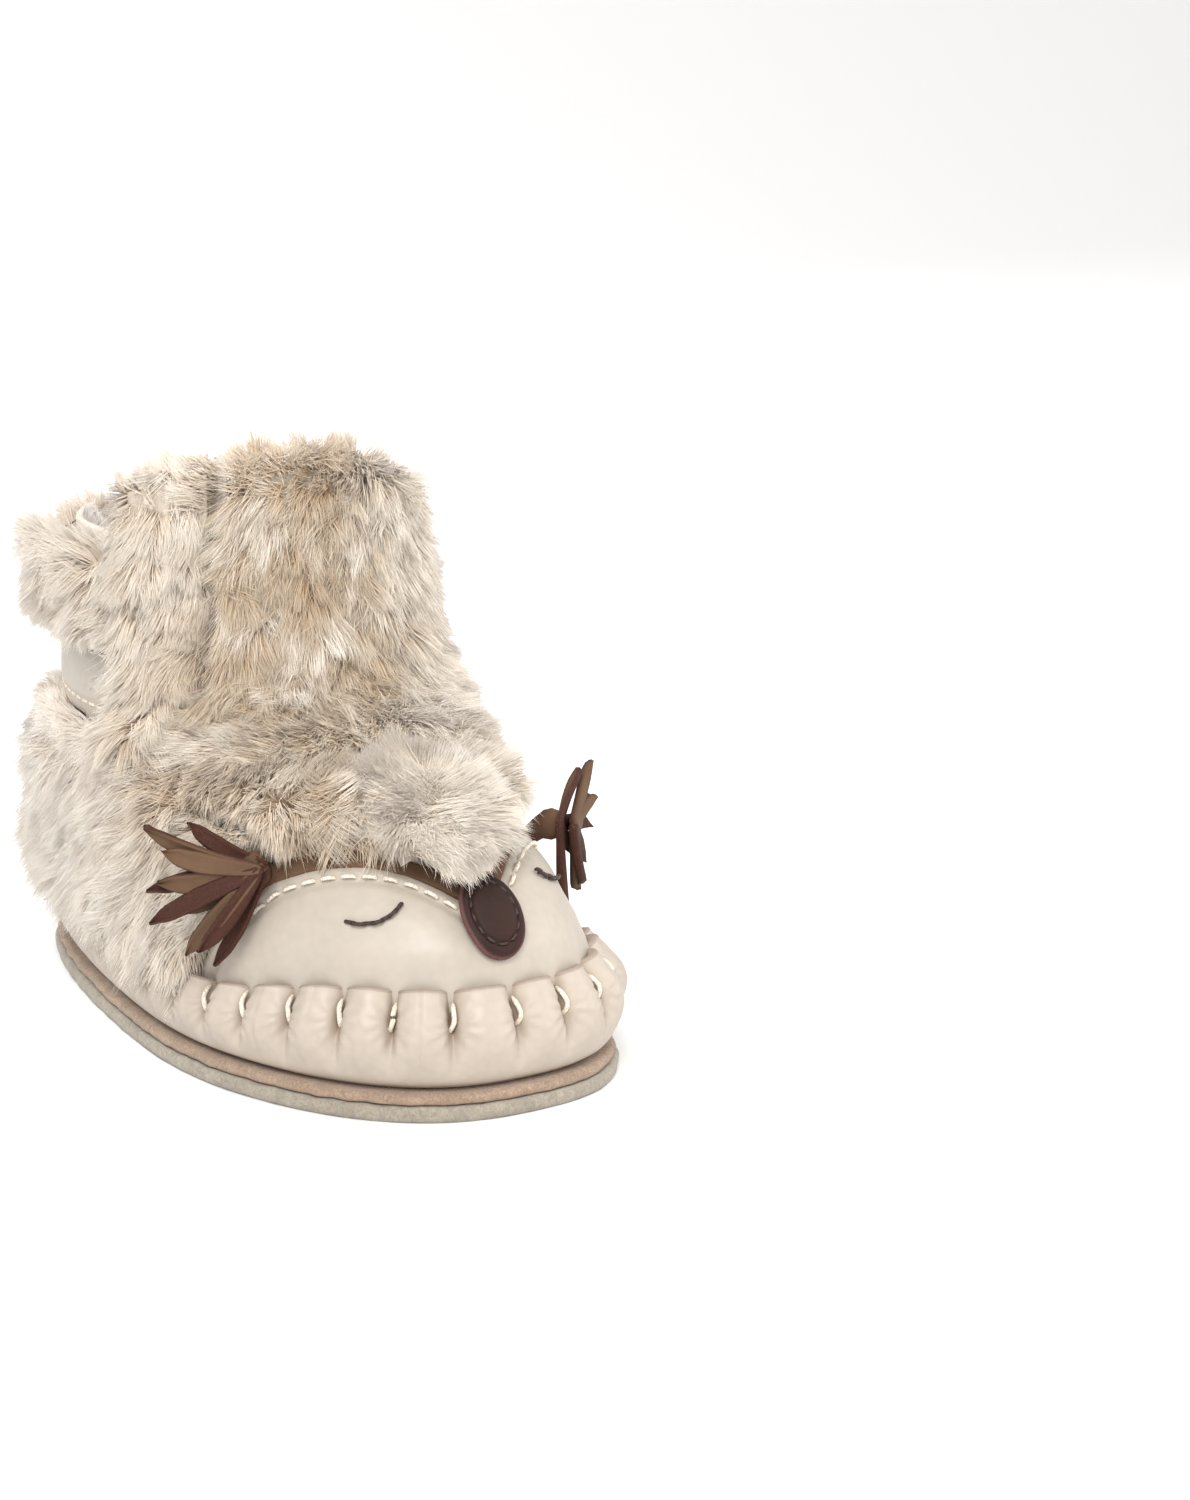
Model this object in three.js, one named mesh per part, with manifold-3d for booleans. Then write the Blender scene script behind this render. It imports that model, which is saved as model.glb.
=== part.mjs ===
// A baby's moccasin bootie for the right foot, in millimetres: toe towards -Y, the inner side of the foot
// towards +X, and the sole standing on z = 0 with the origin under the middle of the bootie.
import * as THREE from "three";
import { LoftGeometry } from "three/addons/geometries/LoftGeometry.js";
import { mergeVertices } from "three/addons/utils/BufferGeometryUtils.js";
import Module from "manifold-3d";

const wasm = await Module();
wasm.setup();

// ---- driving sizes ----
const SOLE_LENGTH = 122;
const BALL_WIDTH = 63;
const HEEL_WIDTH = 51;
const ARCH_DEPTH = 1.6; // how far the inner edge draws in at the waist of the sole
const TOE_SWING = 3; // the toe leans this far towards the big toe
const OUTSOLE_THICKNESS = 2.2;
const WELT_THICKNESS = 1.4; // the tan layer on top of the suede
const WELT_INSET = 0.5;
const SOLE_STITCH_INSET = 5;

const BAND_INSET = 1.8; // the puckered band stands this far inside the outsole's edge
const BAND_WALL = 1.5;
const BAND_FLOOR = 1.2;
const BAND_TOP = 14; // height of the band's top edge
const PLEAT_COUNT = 36;
const PLEAT_DEPTH = 1.0;
const BAND_SWELL = 1.3; // the band bulges this much over the edge of the sole
const BULGE_LEVEL = 0.35; // where the band bulges most, from its foot at 0 to its top edge at 1
const STITCH_LEVEL = 0.75; // where the pleats are stitched
const STITCH_SWELL = 0.6 * BAND_SWELL; // how much of the bulge is left at the stitches
const STITCH_REACH = 1.8; // height of the zigzag that gathers the pleats

const GAP = 0.3; // between pieces that touch
const EDGE_GAP = 0.6; // between pieces cut along the face panel's edge
const LEATHER = 1.3; // thickness of the upper leather
const LINING = 2.0;
const FOAM_THICKNESS = 2.6;
const SOCK_THICKNESS = 1.5;
const FUR_DEPTH = 5.5; // backing and pile together
const PUFF = 1.2; // how much more the wings and the collar stand out

const INSTEP_HEIGHT = 43; // the tongue folds at this height
const SHAFT_LENGTH = 55.5; // front to back, inside the upper
const SHAFT_WIDTH = 43;
const HEEL_OVERHANG = 9.6; // the heel stands this far behind the ankle
const TONGUE_TOP = 84;
const COLLAR_TOP = 71;
const WALL_TOP = 67;
const WING_LENGTH = 14.5; // along Y, on either side of the tongue
const WING_START = 1; // the wings begin this far behind the front of the ankle
const WING_SWING = 0.9; // room behind the wings for their edges as they open
const WING_HEM = 1.5; // the wings' lining stops this far short of their rear edge
const FOLD_REACH = 17; // the tongue folds about a line this far in front of the ankle

const STRAP_WIDTH = 12;
const STRAP_THICKNESS = 1.3;
const STRAP_RISE = 0.6; // the strap's lower edge above the fold
const STRAP_STITCH_INSET = 2;
const TAB_LENGTH = 10; // how far the strap's ends reach under the wings
const PAD_THICKNESS = 0.5;
const PAD_MARGIN = 1.5; // of strap left bare round a pad
const WING_THICKNESS = 2; // least thickness of a wing, before its puff
const THREAD = 0.35; // radius of the cream thread
const FINE_THREAD = 0.3;
const THREAD_CLEARANCE = 0.1; // besides the gap, under a thread that follows a curved face

const FACE_SIDE = 37; // how far behind the toe the face panel reaches at the band
const FACE_CUSP = 4.5; // how far behind the toe its two lobes meet
const STRIP_WIDTH = 3.6;
const FACE_STITCH_INSET = 2.6;
const FACE_STITCH_START = 19; // degrees down from the top of the foot
const FACE_STITCH_END = 86;
const FACE_ANGLE = 115; // how far down the sides the face panel goes
const NOSE_SETBACK = 3.6; // behind the toe
const NOSE_LENGTH = 12;
const NOSE_WIDTH = 9;
const NOSE_TILT = 46; // degrees that the nose patch leans back
const NOSE_STITCH_INSET = 1.2;
const EYE_SETBACK = 11.2;
const EYE_SPREAD = (14.9 / 63) * BALL_WIDTH; // from the middle of the face
const EYE_SPAN = (6.6 / 63) * BALL_WIDTH;
const EYE_SAG = 1.5;
const EYE_SLANT = 2.2; // how much further forward the outer end of an eye lies

const FORELOCK_WIDTH = 18;
const FORELOCK_LENGTH = 20;
const FORELOCK_DEPTH = 9;
const FORELOCK_SETBACK = 14;
const FORELOCK_RISE = 2;
const FORELOCK_TILT = 25;

const EAR_ANGLE = 52; // degrees down from the top of the foot
const EAR_ROOT_RADIUS = 1.4;
const EAR_SETBACK = 3.8; // behind the face panel's edge
const EAR_THICKNESS = 1.2;
const EAR_LIFT = 2.2; // the strands stand this far off the fur
const EAR_STRANDS = 9;
const EAR_STAGGER = 0.3; // neighbouring strands lie this far above each other
const EAR_STRAND_WIDTH = 4;
const EAR_STRAND_LENGTH = 21;
const EAR_TURN = 40; // degrees that the strands stand out from the foot's length
const EAR_RISE = 26; // degrees of the highest strand
const EAR_DROP = 68; // degrees below level of the lowest one

const VAMP_ANGLE = 46; // the fur over the instep ends this far down from the top of the foot
const SEAM = 0.8; // degrees between the vamp and the side fur

const COLUMNS = 32; // points around each cross section
const SOLE_COLUMNS = 56;
const BAND_COLUMNS = 96;
const WELD = 1e-4; // corners closer than this are one
const FAR = 200;

// ---- places worked out from the sizes ----
const UPPER_INSET = BAND_INSET + BAND_WALL + GAP + LEATHER;
const TOE = -SOLE_LENGTH / 2 + UPPER_INSET;
const HEEL = SOLE_LENGTH / 2 - UPPER_INSET;
const ANKLE_REAR = HEEL - HEEL_OVERHANG;
const ANKLE_FRONT = ANKLE_REAR - SHAFT_LENGTH;
const ANKLE_MIDDLE = (ANKLE_REAR + ANKLE_FRONT) / 2;
const BAND_BASE = OUTSOLE_THICKNESS + GAP + WELT_THICKNESS + GAP;
const FOAM_BASE = BAND_BASE + BAND_FLOOR + GAP;
const SOCK_BASE = FOAM_BASE + FOAM_THICKNESS + GAP;
const UPPER_BASE = SOCK_BASE + SOCK_THICKNESS + GAP;
const FUR_BASE = BAND_TOP + GAP;
const FOLD_LOW = INSTEP_HEIGHT - GAP / 2;
const FOLD_HIGH = INSTEP_HEIGHT + GAP / 2;
const STRAP_LOW = INSTEP_HEIGHT + STRAP_RISE;
const STRAP_HIGH = STRAP_LOW + STRAP_WIDTH;
const WING_FRONT = ANKLE_FRONT + WING_START;
const WING_REAR = WING_FRONT + WING_LENGTH;
const FOLD_LINE = ANKLE_FRONT - FOLD_REACH;
const STRAP_IN = LEATHER + GAP;
const STRAP_OUT = STRAP_IN + STRAP_THICKNESS;
const TAB_FRONT = WING_REAR - TAB_LENGTH;
const STRIP_END = EAR_ANGLE + 8;
const EAR_REACH = FUR_DEPTH + EAR_LIFT;
const LOOP_IN = STRAP_OUT + GAP;
const LOOP_OUT = LOOP_IN + PAD_THICKNESS;
const HOOK_IN = LOOP_OUT + GAP;
const HOOK_OUT = HOOK_IN + PAD_THICKNESS;
const WING_IN = HOOK_OUT + GAP;
const WING_OUT = Math.max(FUR_DEPTH, WING_IN + WING_THICKNESS) + PUFF;
const COLLAR_LOW = STRAP_HIGH + GAP;

const rad = THREE.MathUtils.degToRad;
const mix = THREE.MathUtils.lerp;

// ---- solids, joins and cuts ----
function solid(geometry) {
  const bare = new THREE.BufferGeometry().setAttribute("position", geometry.getAttribute("position"));
  const merged = mergeVertices(bare.setIndex(geometry.index), WELD);
  const vertProperties = new Float32Array(merged.attributes.position.array);
  const triVerts = new Uint32Array(merged.index.array);
  return new wasm.Manifold(new wasm.Mesh({ numProp: 3, vertProperties, triVerts }));
}

function geometryOf(made) {
  const mesh = made.getMesh();
  return new THREE.BufferGeometry()
    .setAttribute("position", new THREE.BufferAttribute(new Float32Array(mesh.vertProperties), 3))
    .setIndex(new THREE.BufferAttribute(new Uint32Array(mesh.triVerts), 1));
}

function box(x0, x1, y0, y1, z0, z1) {
  const geometry = new THREE.BoxGeometry(x1 - x0, y1 - y0, z1 - z0);
  return solid(geometry.translate((x0 + x1) / 2, (y0 + y1) / 2, (z0 + z1) / 2));
}

const mirrored = (made) => made.mirror([1, 0, 0]);
const slab = (z0, z1) => box(-FAR, FAR, -FAR, FAR, z0, z1);
const behind = (y) => box(-FAR, FAR, y, FAR, -FAR, FAR);
const innerHalf = box(GAP / 2, FAR, -FAR, FAR, -FAR, FAR);
const sideOf = (side) => (side < 0 ? mirrored(innerHalf) : innerHalf);

// The main body of a piece, without the slivers that its neighbours cut off.
function largest(made) {
  return made.decompose().reduce((a, b) => (b.volume() > a.volume() ? b : a));
}

function tube(points, radius, steps, sides = 6) {
  const section = new THREE.Shape();
  for (let i = 0; i < sides; i++) {
    const a = (2 * Math.PI * i) / sides;
    const corner = [radius * Math.cos(a), radius * Math.sin(a)];
    if (i) section.lineTo(...corner);
    else section.moveTo(...corner);
  }
  const extrudePath = new THREE.CatmullRomCurve3(points);
  return solid(new THREE.ExtrudeGeometry(section, { extrudePath, steps, bevelEnabled: false }));
}

// ---- the shape of the foot ----
// One cross section of the upper: its front and rear, its half widths at ball and heel, and how boxy it is.
function ring(section, offset, count = COLUMNS) {
  const length = section.rear - section.front + 2 * offset;
  const middle = (section.front + section.rear) / 2;
  const power = 2 / section.power;
  const points = [];
  for (let i = 0; i < count; i++) {
    const a = (2 * Math.PI * i) / count;
    const c = Math.cos(a);
    const s = Math.sin(a);
    const along = Math.sign(s) * Math.abs(s) ** power;
    const y = middle + (along * length) / 2;
    const heelward = THREE.MathUtils.smoothstep(along, -0.5, 0.75);
    const half = mix(section.ball, section.heel, heelward) + offset;
    let x = Math.sign(c) * Math.abs(c) ** power * half;
    if (x > 0) x -= section.arch * Math.exp(-((along / 0.4) ** 2)) * Math.abs(c);
    x += section.swing * Math.max(0, -along) ** 2;
    points.push(new THREE.Vector3(x, y, 0));
  }
  return points;
}

const SOLE_SECTION = {
  front: -SOLE_LENGTH / 2,
  rear: SOLE_LENGTH / 2,
  ball: BALL_WIDTH / 2,
  heel: HEEL_WIDTH / 2,
  arch: ARCH_DEPTH,
  swing: TOE_SWING,
  power: 2.5,
};

// height: 0 at the band's top and 1 at the fold; toe, heel and girth: 0 at the foot's own outline and
// 1 at the ankle's.
function station(height, toe, heel, girth) {
  return {
    z: mix(BAND_TOP, INSTEP_HEIGHT, height),
    front: mix(TOE, ANKLE_FRONT, toe),
    rear: mix(HEEL, ANKLE_REAR, heel),
    ball: mix(BALL_WIDTH / 2 - UPPER_INSET, SHAFT_WIDTH / 2, girth),
    heel: mix(HEEL_WIDTH / 2 - UPPER_INSET, SHAFT_WIDTH / 2, girth),
    arch: ARCH_DEPTH * (1 - THREE.MathUtils.clamp(girth, 0, 1)),
    swing: TOE_SWING * (1 - THREE.MathUtils.clamp(girth, 0, 1)),
    power: mix(2.5, 2.1, THREE.MathUtils.clamp(girth, 0, 1)),
  };
}

const STATIONS = [
  station(-1, 0, 0, 0),
  station(0.1, 0, 0, 0),
  station(0.27, 0.02, 0.03, 0.05),
  station(0.4, 0.08, 0.08, 0.15),
  station(0.55, 0.17, 0.15, 0.3),
  station(0.66, 0.26, 0.22, 0.42),
  station(0.75, 0.37, 0.32, 0.55),
  station(0.84, 0.52, 0.45, 0.7),
  station(0.93, 0.72, 0.62, 0.85),
  station(1.03, 0.88, 0.8, 0.95),
  station(1.2, 0.97, 0.95, 1),
  station(1.5, 1, 1, 1),
  station(2.1, 1.02, 0.75, 1.07),
  station(3.6, 1.0, 0.6, 1.15),
];

// The upper's inner face moved outwards by an offset, as a closed solid.
const bodies = new Map();
function body(offset) {
  if (!bodies.has(offset)) {
    const sections = STATIONS.map((s) => ring(s, offset).map((p) => p.setZ(s.z + offset)));
    bodies.set(offset, solid(new LoftGeometry(sections, { capStart: true, capEnd: true })));
  }
  return bodies.get(offset);
}

const shell = (inner, outer) => body(outer).subtract(body(inner));

// The first point of the upper, moved outwards by an offset, that a line of sight meets.
function seen(from, towards, offset) {
  const skin = new THREE.Mesh(geometryOf(body(offset)), new THREE.MeshBasicMaterial());
  return new THREE.Raycaster(from, towards).intersectObject(skin).at(0).point;
}

// A point on the upper at a distance along the foot and an angle down from its top.
function onUpper(y, angle, offset) {
  const out = new THREE.Vector3(Math.sin(rad(angle)), 0, Math.cos(rad(angle)));
  const from = new THREE.Vector3(0, y, BAND_TOP).addScaledVector(out, FAR);
  return seen(from, out.negate(), offset);
}

// A point around the ankle at a height, with the angle measured from the inner side over the rear.
function aroundAnkle(angle, height, offset) {
  const out = new THREE.Vector3(Math.cos(rad(angle)), Math.sin(rad(angle)), 0);
  const from = new THREE.Vector3(0, ANKLE_MIDDLE, height).addScaledVector(out, FAR);
  return seen(from, out.negate(), offset);
}

// A region of the upper between two edges, each a distance along the foot for an angle down from its top.
function patch(edgeA, edgeB, angleA, angleB) {
  const steps = Math.max(2, Math.ceil(Math.abs(angleB - angleA) / 4));
  const reaches = [4, 12, 19, 27, 40];
  const sections = [];
  for (let i = 0; i <= steps; i++) {
    const angle = mix(angleA, angleB, i / steps);
    const across = Math.sin(rad(angle));
    const up = Math.cos(rad(angle));
    const at = (r, y) => new THREE.Vector3(r * across, y, BAND_TOP + r * up);
    const near = reaches.map((r) => at(r, edgeA(angle)));
    const far = reaches.map((r) => at(r, edgeB(angle)));
    sections.push([...far, ...near.reverse()]);
  }
  return solid(new LoftGeometry(sections, { capStart: true, capEnd: true }));
}

// The heart-shaped back edge of the face panel.
const HEART = new THREE.SplineCurve([
  new THREE.Vector2(0, 0),
  new THREE.Vector2(12, 0.03),
  new THREE.Vector2(34, 0.31),
  new THREE.Vector2(56, 0.64),
  new THREE.Vector2(90, 1),
  new THREE.Vector2(120, 1.15),
]);

function heartEdge(angle, setback = 0) {
  const points = HEART.points;
  const side = Math.abs(angle);
  let i = 0;
  while (i < points.length - 2 && side > points[i + 1].x) i++;
  const t = (i + (side - points[i].x) / (points[i + 1].x - points[i].x)) / (points.length - 1);
  return TOE + mix(FACE_CUSP, FACE_SIDE, HEART.getPoint(t).y) + setback;
}

// ---- sole ----
function layer(inset, z0, z1) {
  const outline = ring(SOLE_SECTION, -inset, SOLE_COLUMNS);
  const at = (z) => outline.map((p) => p.clone().setZ(z));
  return solid(new LoftGeometry([at(z0), at(z1)], { capStart: true, capEnd: true }));
}

function soleThreadPath(height) {
  const count = 72;
  const points = ring(SOLE_SECTION, -SOLE_STITCH_INSET, count).map((p) => p.setZ(height));
  return points.slice(count / 4).concat(points.slice(0, count / 4));
}

function outsole() {
  const half = THREAD + 2 * GAP;
  const depth = 2 * THREAD + GAP;
  const island = layer(SOLE_STITCH_INSET + half, -2, depth + 1);
  const groove = layer(SOLE_STITCH_INSET - half, -1, depth).subtract(island);
  return layer(0, 0, OUTSOLE_THICKNESS).subtract(groove);
}

const welt = () => layer(WELT_INSET, OUTSOLE_THICKNESS + GAP, OUTSOLE_THICKNESS + GAP + WELT_THICKNESS);
const outsoleThread = () => tube(soleThreadPath(THREAD + THREAD_CLEARANCE), THREAD, 60, 4);

// ---- moccasin band ----
const PLEAT_PROFILE = [-0.6, 0.5, 1, 0.5]; // one pleat, from its stitch to the next
const bandHeight = (level) => mix(BAND_BASE, BAND_TOP, level);

function evenRing(points, count) {
  const curve = new THREE.CatmullRomCurve3(points, true);
  curve.arcLengthDivisions = 2000;
  return curve.getSpacedPoints(count).slice(0, count);
}

function outward(points, i) {
  const previous = points[(i + points.length - 1) % points.length];
  const next = points[(i + 1) % points.length];
  return new THREE.Vector3(next.y - previous.y, previous.x - next.x, 0).normalize();
}

function bandRing(inset, depth, z) {
  const steps = PLEAT_PROFILE.length;
  const even = evenRing(ring(SOLE_SECTION, -inset, BAND_COLUMNS), PLEAT_COUNT * steps);
  return even.map((p, i) => {
    const swell = PLEAT_PROFILE[i % steps] * depth;
    return p.clone().addScaledVector(outward(even, i), swell).setZ(z);
  });
}

function moccasinBand() {
  const outer = new LoftGeometry(
    [
      bandRing(BAND_INSET, 0, BAND_BASE),
      bandRing(BAND_INSET - BAND_SWELL, 0.3 * PLEAT_DEPTH, bandHeight(BULGE_LEVEL)),
      bandRing(BAND_INSET - STITCH_SWELL, PLEAT_DEPTH, bandHeight(STITCH_LEVEL)),
      bandRing(BAND_INSET, 0.8 * PLEAT_DEPTH, BAND_TOP),
    ],
    { capStart: true, capEnd: true },
  );
  return solid(outer).subtract(layer(BAND_INSET + BAND_WALL, BAND_BASE + BAND_FLOOR, BAND_TOP + 1));
}

function puckerThread() {
  const reach = STITCH_SWELL + PLEAT_DEPTH + GAP + THREAD + THREAD_CLEARANCE;
  const even = evenRing(ring(SOLE_SECTION, -BAND_INSET, BAND_COLUMNS), PLEAT_COUNT * 2);
  const points = even.map((p, i) => {
    const rise = (i % 2 ? STITCH_REACH : -STITCH_REACH) / 2;
    return p.clone().addScaledVector(outward(even, i), reach).setZ(bandHeight(STITCH_LEVEL) + rise);
  });
  const start = points.length / 4;
  return tube(points.slice(start).concat(points.slice(0, start)), THREAD, PLEAT_COUNT * 3, 4);
}

// ---- inside the foot ----
const footLayer = (z0, z1) => layer(UPPER_INSET + GAP, z0, z1);

const footLining = () => shell(-GAP - LINING, -GAP).intersect(slab(UPPER_BASE, FOLD_LOW));

// ---- face ----
const faceRegion = (setback) => patch(() => -FAR, (a) => heartEdge(a, setback), -FACE_ANGLE, FACE_ANGLE);
const upperSlab = slab(UPPER_BASE, FOLD_LOW);

const facePanel = () => shell(0, LEATHER).intersect(faceRegion(0)).intersect(upperSlab);

function faceThread(side, radius) {
  const points = [];
  const reach = LEATHER + GAP + FINE_THREAD + 2 * THREAD_CLEARANCE;
  for (let a = FACE_STITCH_START; a <= FACE_STITCH_END; a += 6) {
    points.push(onUpper(heartEdge(a, -FACE_STITCH_INSET), side * a, reach));
  }
  return tube(points, radius, 26, 4);
}

function browStrip(side) {
  const front = (a) => heartEdge(a, EDGE_GAP);
  const rear = (a) => heartEdge(a, STRIP_WIDTH);
  const region = patch(front, rear, -STRIP_END, STRIP_END);
  return shell(0, LEATHER).intersect(region).intersect(upperSlab).intersect(sideOf(side));
}

function noseOutline(grow) {
  const half = NOSE_WIDTH / 2 + grow;
  const tall = NOSE_LENGTH / 2 + grow;
  const shape = new THREE.Shape();
  shape.moveTo(0, tall);
  shape.bezierCurveTo(-half * 0.9, tall * 0.9, -half * 1.15, -tall * 0.2, -half * 0.75, -tall * 0.65);
  shape.bezierCurveTo(-half * 0.4, -tall * 1.1, half * 0.4, -tall * 1.1, half * 0.75, -tall * 0.65);
  shape.bezierCurveTo(half * 1.15, -tall * 0.2, half * 0.9, tall * 0.9, 0, tall);
  return shape;
}

// Turns a shape drawn flat so that it faces out of the toe where the nose sits.
function atNose(geometry) {
  const seat = onUpper(TOE + NOSE_SETBACK, 0, 0);
  return geometry.rotateX(rad(NOSE_TILT)).translate(seat.x, seat.y, seat.z);
}

function nosePrism(grow) {
  const settings = { depth: 40, bevelEnabled: false, curveSegments: 6 };
  const prism = new THREE.ExtrudeGeometry(noseOutline(grow), settings);
  return solid(atNose(prism.translate(0, 0, -12)));
}

const nosePatch = () => shell(LEATHER + GAP, 2 * LEATHER + GAP).intersect(nosePrism(0));

function noseThread() {
  const outline = noseOutline(-NOSE_STITCH_INSET).getSpacedPoints(24).slice(0, -1);
  const facing = new THREE.Vector3(0, -Math.sin(rad(NOSE_TILT)), Math.cos(rad(NOSE_TILT)));
  const points = outline.map((flat) => {
    const from = atNose(new THREE.BufferGeometry().setFromPoints([new THREE.Vector3(flat.x, flat.y, 0)]));
    const start = new THREE.Vector3().fromBufferAttribute(from.attributes.position, 0);
    const reach = 2 * LEATHER + 2 * GAP + FINE_THREAD + THREAD_CLEARANCE;
    return seen(start.addScaledVector(facing, FAR), facing.clone().negate(), reach);
  });
  return tube(points, FINE_THREAD, 28, 4);
}

// A sleeping eye: a shallow stitched arc that sags in the middle.
function eye(side) {
  const points = [];
  const reach = LEATHER + GAP + FINE_THREAD + THREAD_CLEARANCE;
  for (let i = 0; i <= 8; i++) {
    const t = i / 4 - 1;
    const x = side * EYE_SPREAD + (t * EYE_SPAN) / 2;
    const sag = EYE_SAG * (1 - t * t) - side * t * EYE_SLANT;
    const above = new THREE.Vector3(x, TOE + EYE_SETBACK - sag, FAR);
    points.push(seen(above, new THREE.Vector3(0, 0, -1), reach));
  }
  return tube(points, FINE_THREAD, 12, 4);
}

// ---- fur over the foot ----

// The tuft that falls from the instep between the brow strips to the nose.
function forelockSolid(grow) {
  const lobe = new THREE.SphereGeometry(1, 20, 12);
  lobe.scale(FORELOCK_WIDTH / 2 + grow, FORELOCK_LENGTH / 2 + grow, FORELOCK_DEPTH / 2 + grow);
  const seat = onUpper(TOE + FORELOCK_SETBACK, 0, FORELOCK_RISE);
  lobe.rotateX(rad(FORELOCK_TILT));
  return solid(lobe.translate(seat.x, seat.y, seat.z));
}

function forelock() {
  const clear = body(LEATHER + GAP)
    .add(nosePrism(GAP))
    .add(faceThread(-1, FINE_THREAD + GAP))
    .add(faceThread(1, FINE_THREAD + GAP));
  return forelockSolid(0).subtract(clear).intersect(slab(0, FOLD_LOW));
}

const earPlace = (side) => onUpper(heartEdge(EAR_ANGLE, EAR_SETBACK), side * EAR_ANGLE, 0);

// The strands hang from a roll of leather that stands straight out of the brow strip.
function earFrame(side) {
  const turn = rad(EAR_TURN);
  return new THREE.Vector3(side * Math.cos(turn), -Math.sin(turn), 0);
}

function earRoll(side, radius, from, to) {
  const out = earFrame(side);
  const geometry = new THREE.CylinderGeometry(radius, radius, to - from, 16);
  geometry.translate(0, (from + to) / 2, 0);
  geometry.applyQuaternion(new THREE.Quaternion().setFromUnitVectors(new THREE.Vector3(0, 1, 0), out));
  const { x, y, z } = earPlace(side);
  return solid(geometry.translate(x, y, z));
}

function earStrand(length) {
  const half = EAR_STRAND_WIDTH / 2;
  const strand = new THREE.Shape();
  strand.moveTo(0, -half * 0.6);
  strand.lineTo(length * 0.7, -half);
  strand.lineTo(length, half * 0.2);
  strand.lineTo(length * 0.8, half);
  strand.lineTo(0, half * 0.6);
  strand.closePath();
  return new THREE.ExtrudeGeometry(strand, { depth: EAR_THICKNESS, bevelEnabled: false });
}

function earFringe(side) {
  const out = earFrame(side);
  const up = new THREE.Vector3(0, 0, 1);
  const back = new THREE.Vector3().crossVectors(up, out).multiplyScalar(side);
  const plane = new THREE.Matrix4().makeBasis(back, up, new THREE.Vector3().crossVectors(back, up));
  const flip = side < 0 ? 0 : EAR_THICKNESS;
  const root = earPlace(side).addScaledVector(out, EAR_REACH + flip);
  plane.setPosition(root);
  const clear = body(LEATHER + GAP).add(faceThread(side, FINE_THREAD + THREAD_CLEARANCE));
  let made = earRoll(side, EAR_ROOT_RADIUS, 0, EAR_REACH + EAR_THICKNESS).subtract(clear);
  for (let i = 0; i < EAR_STRANDS; i++) {
    const share = i / (EAR_STRANDS - 1);
    const length = EAR_STRAND_LENGTH * (0.82 + 0.18 * Math.sin(Math.PI * share) + 0.06 * (i % 2));
    const strand = earStrand(length).translate(0, 0, (i % 3) * EAR_STAGGER);
    strand.rotateZ(rad(mix(EAR_RISE, -EAR_DROP, share)));
    made = made.add(solid(strand.applyMatrix4(plane)));
  }
  return made;
}

function vampRegion() {
  const front = (a) => heartEdge(a, STRIP_WIDTH + EDGE_GAP);
  return patch(front, () => WING_FRONT, -VAMP_ANGLE, VAMP_ANGLE);
}

function vampFur() {
  const radius = EAR_ROOT_RADIUS + GAP;
  const clear = forelockSolid(GAP).add(earRoll(-1, radius, 0, 30)).add(earRoll(1, radius, 0, 30));
  return largest(shell(0, FUR_DEPTH).intersect(vampRegion()).intersect(upperSlab).subtract(clear));
}

// The fur that goes round the heel starts behind the face panel low down, and behind the vamp higher up.
function quarterFur(side) {
  const front = (a) => heartEdge(a, Math.abs(a) < STRIP_END + 5 ? STRIP_WIDTH + EDGE_GAP : EDGE_GAP);
  const low = patch(front, () => FAR, VAMP_ANGLE + SEAM, FACE_ANGLE);
  const region = (side < 0 ? mirrored(low) : low).add(behind(WING_FRONT + GAP));
  const backing = shell(0, LEATHER).intersect(upperSlab);
  const pile = shell(0, FUR_DEPTH).intersect(slab(FUR_BASE, FOLD_LOW));
  const hole = earRoll(side, EAR_ROOT_RADIUS + GAP, -10, 30);
  return largest(backing.add(pile).intersect(region).intersect(sideOf(side)).subtract(hole));
}

// ---- ankle ----
const rearRegion = (z0, z1) => behind(WING_REAR + WING_SWING).intersect(slab(z0, z1));
const shaftWall = () => shell(0, LEATHER).intersect(rearRegion(FOLD_HIGH, WALL_TOP));
const shaftLining = () => shell(-GAP - LINING, -GAP).intersect(rearRegion(FOLD_HIGH, COLLAR_TOP));

function collarFur() {
  const lip = shell(0, FUR_DEPTH + PUFF).intersect(rearRegion(WALL_TOP + GAP, COLLAR_TOP));
  const pile = shell(LEATHER + GAP, FUR_DEPTH + PUFF).intersect(rearRegion(COLLAR_LOW, WALL_TOP + 2 * GAP));
  return lip.add(pile);
}

const strapSlab = (margin) => slab(STRAP_LOW + margin, STRAP_HIGH - margin);
const ankleStrap = () => shell(STRAP_IN, STRAP_OUT).intersect(behind(TAB_FRONT)).intersect(strapSlab(0));

// A row of stitches along the strap, on its outer face, over the rear of the ankle.
function strapThread(height) {
  const points = [];
  const reach = STRAP_OUT + GAP + FINE_THREAD + THREAD_CLEARANCE;
  for (let a = -60; a <= 240; a += 5) {
    const point = aroundAnkle(a, height, reach);
    if (point.y > WING_REAR + 2 * GAP) points.push(point);
  }
  return tube(points, FINE_THREAD, 40, 4);
}

// A hook or loop pad on one of the strap's two free ends.
function pad(side, inner, outer) {
  const region = box(-FAR, FAR, TAB_FRONT + 2 * PAD_MARGIN, WING_REAR - WING_HEM / 2, -FAR, FAR);
  return shell(inner, outer).intersect(region).intersect(strapSlab(PAD_MARGIN)).intersect(sideOf(side));
}

// ---- tongue ----
const tongueSpan = box(-FAR, FAR, FOLD_LINE + GAP, WING_FRONT - GAP / 2, FOLD_HIGH, TONGUE_TOP);
const tongueFur = () => shell(0, FUR_DEPTH).intersect(tongueSpan);
const tongueLining = () => shell(-GAP - LINING, -GAP).intersect(tongueSpan);

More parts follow.
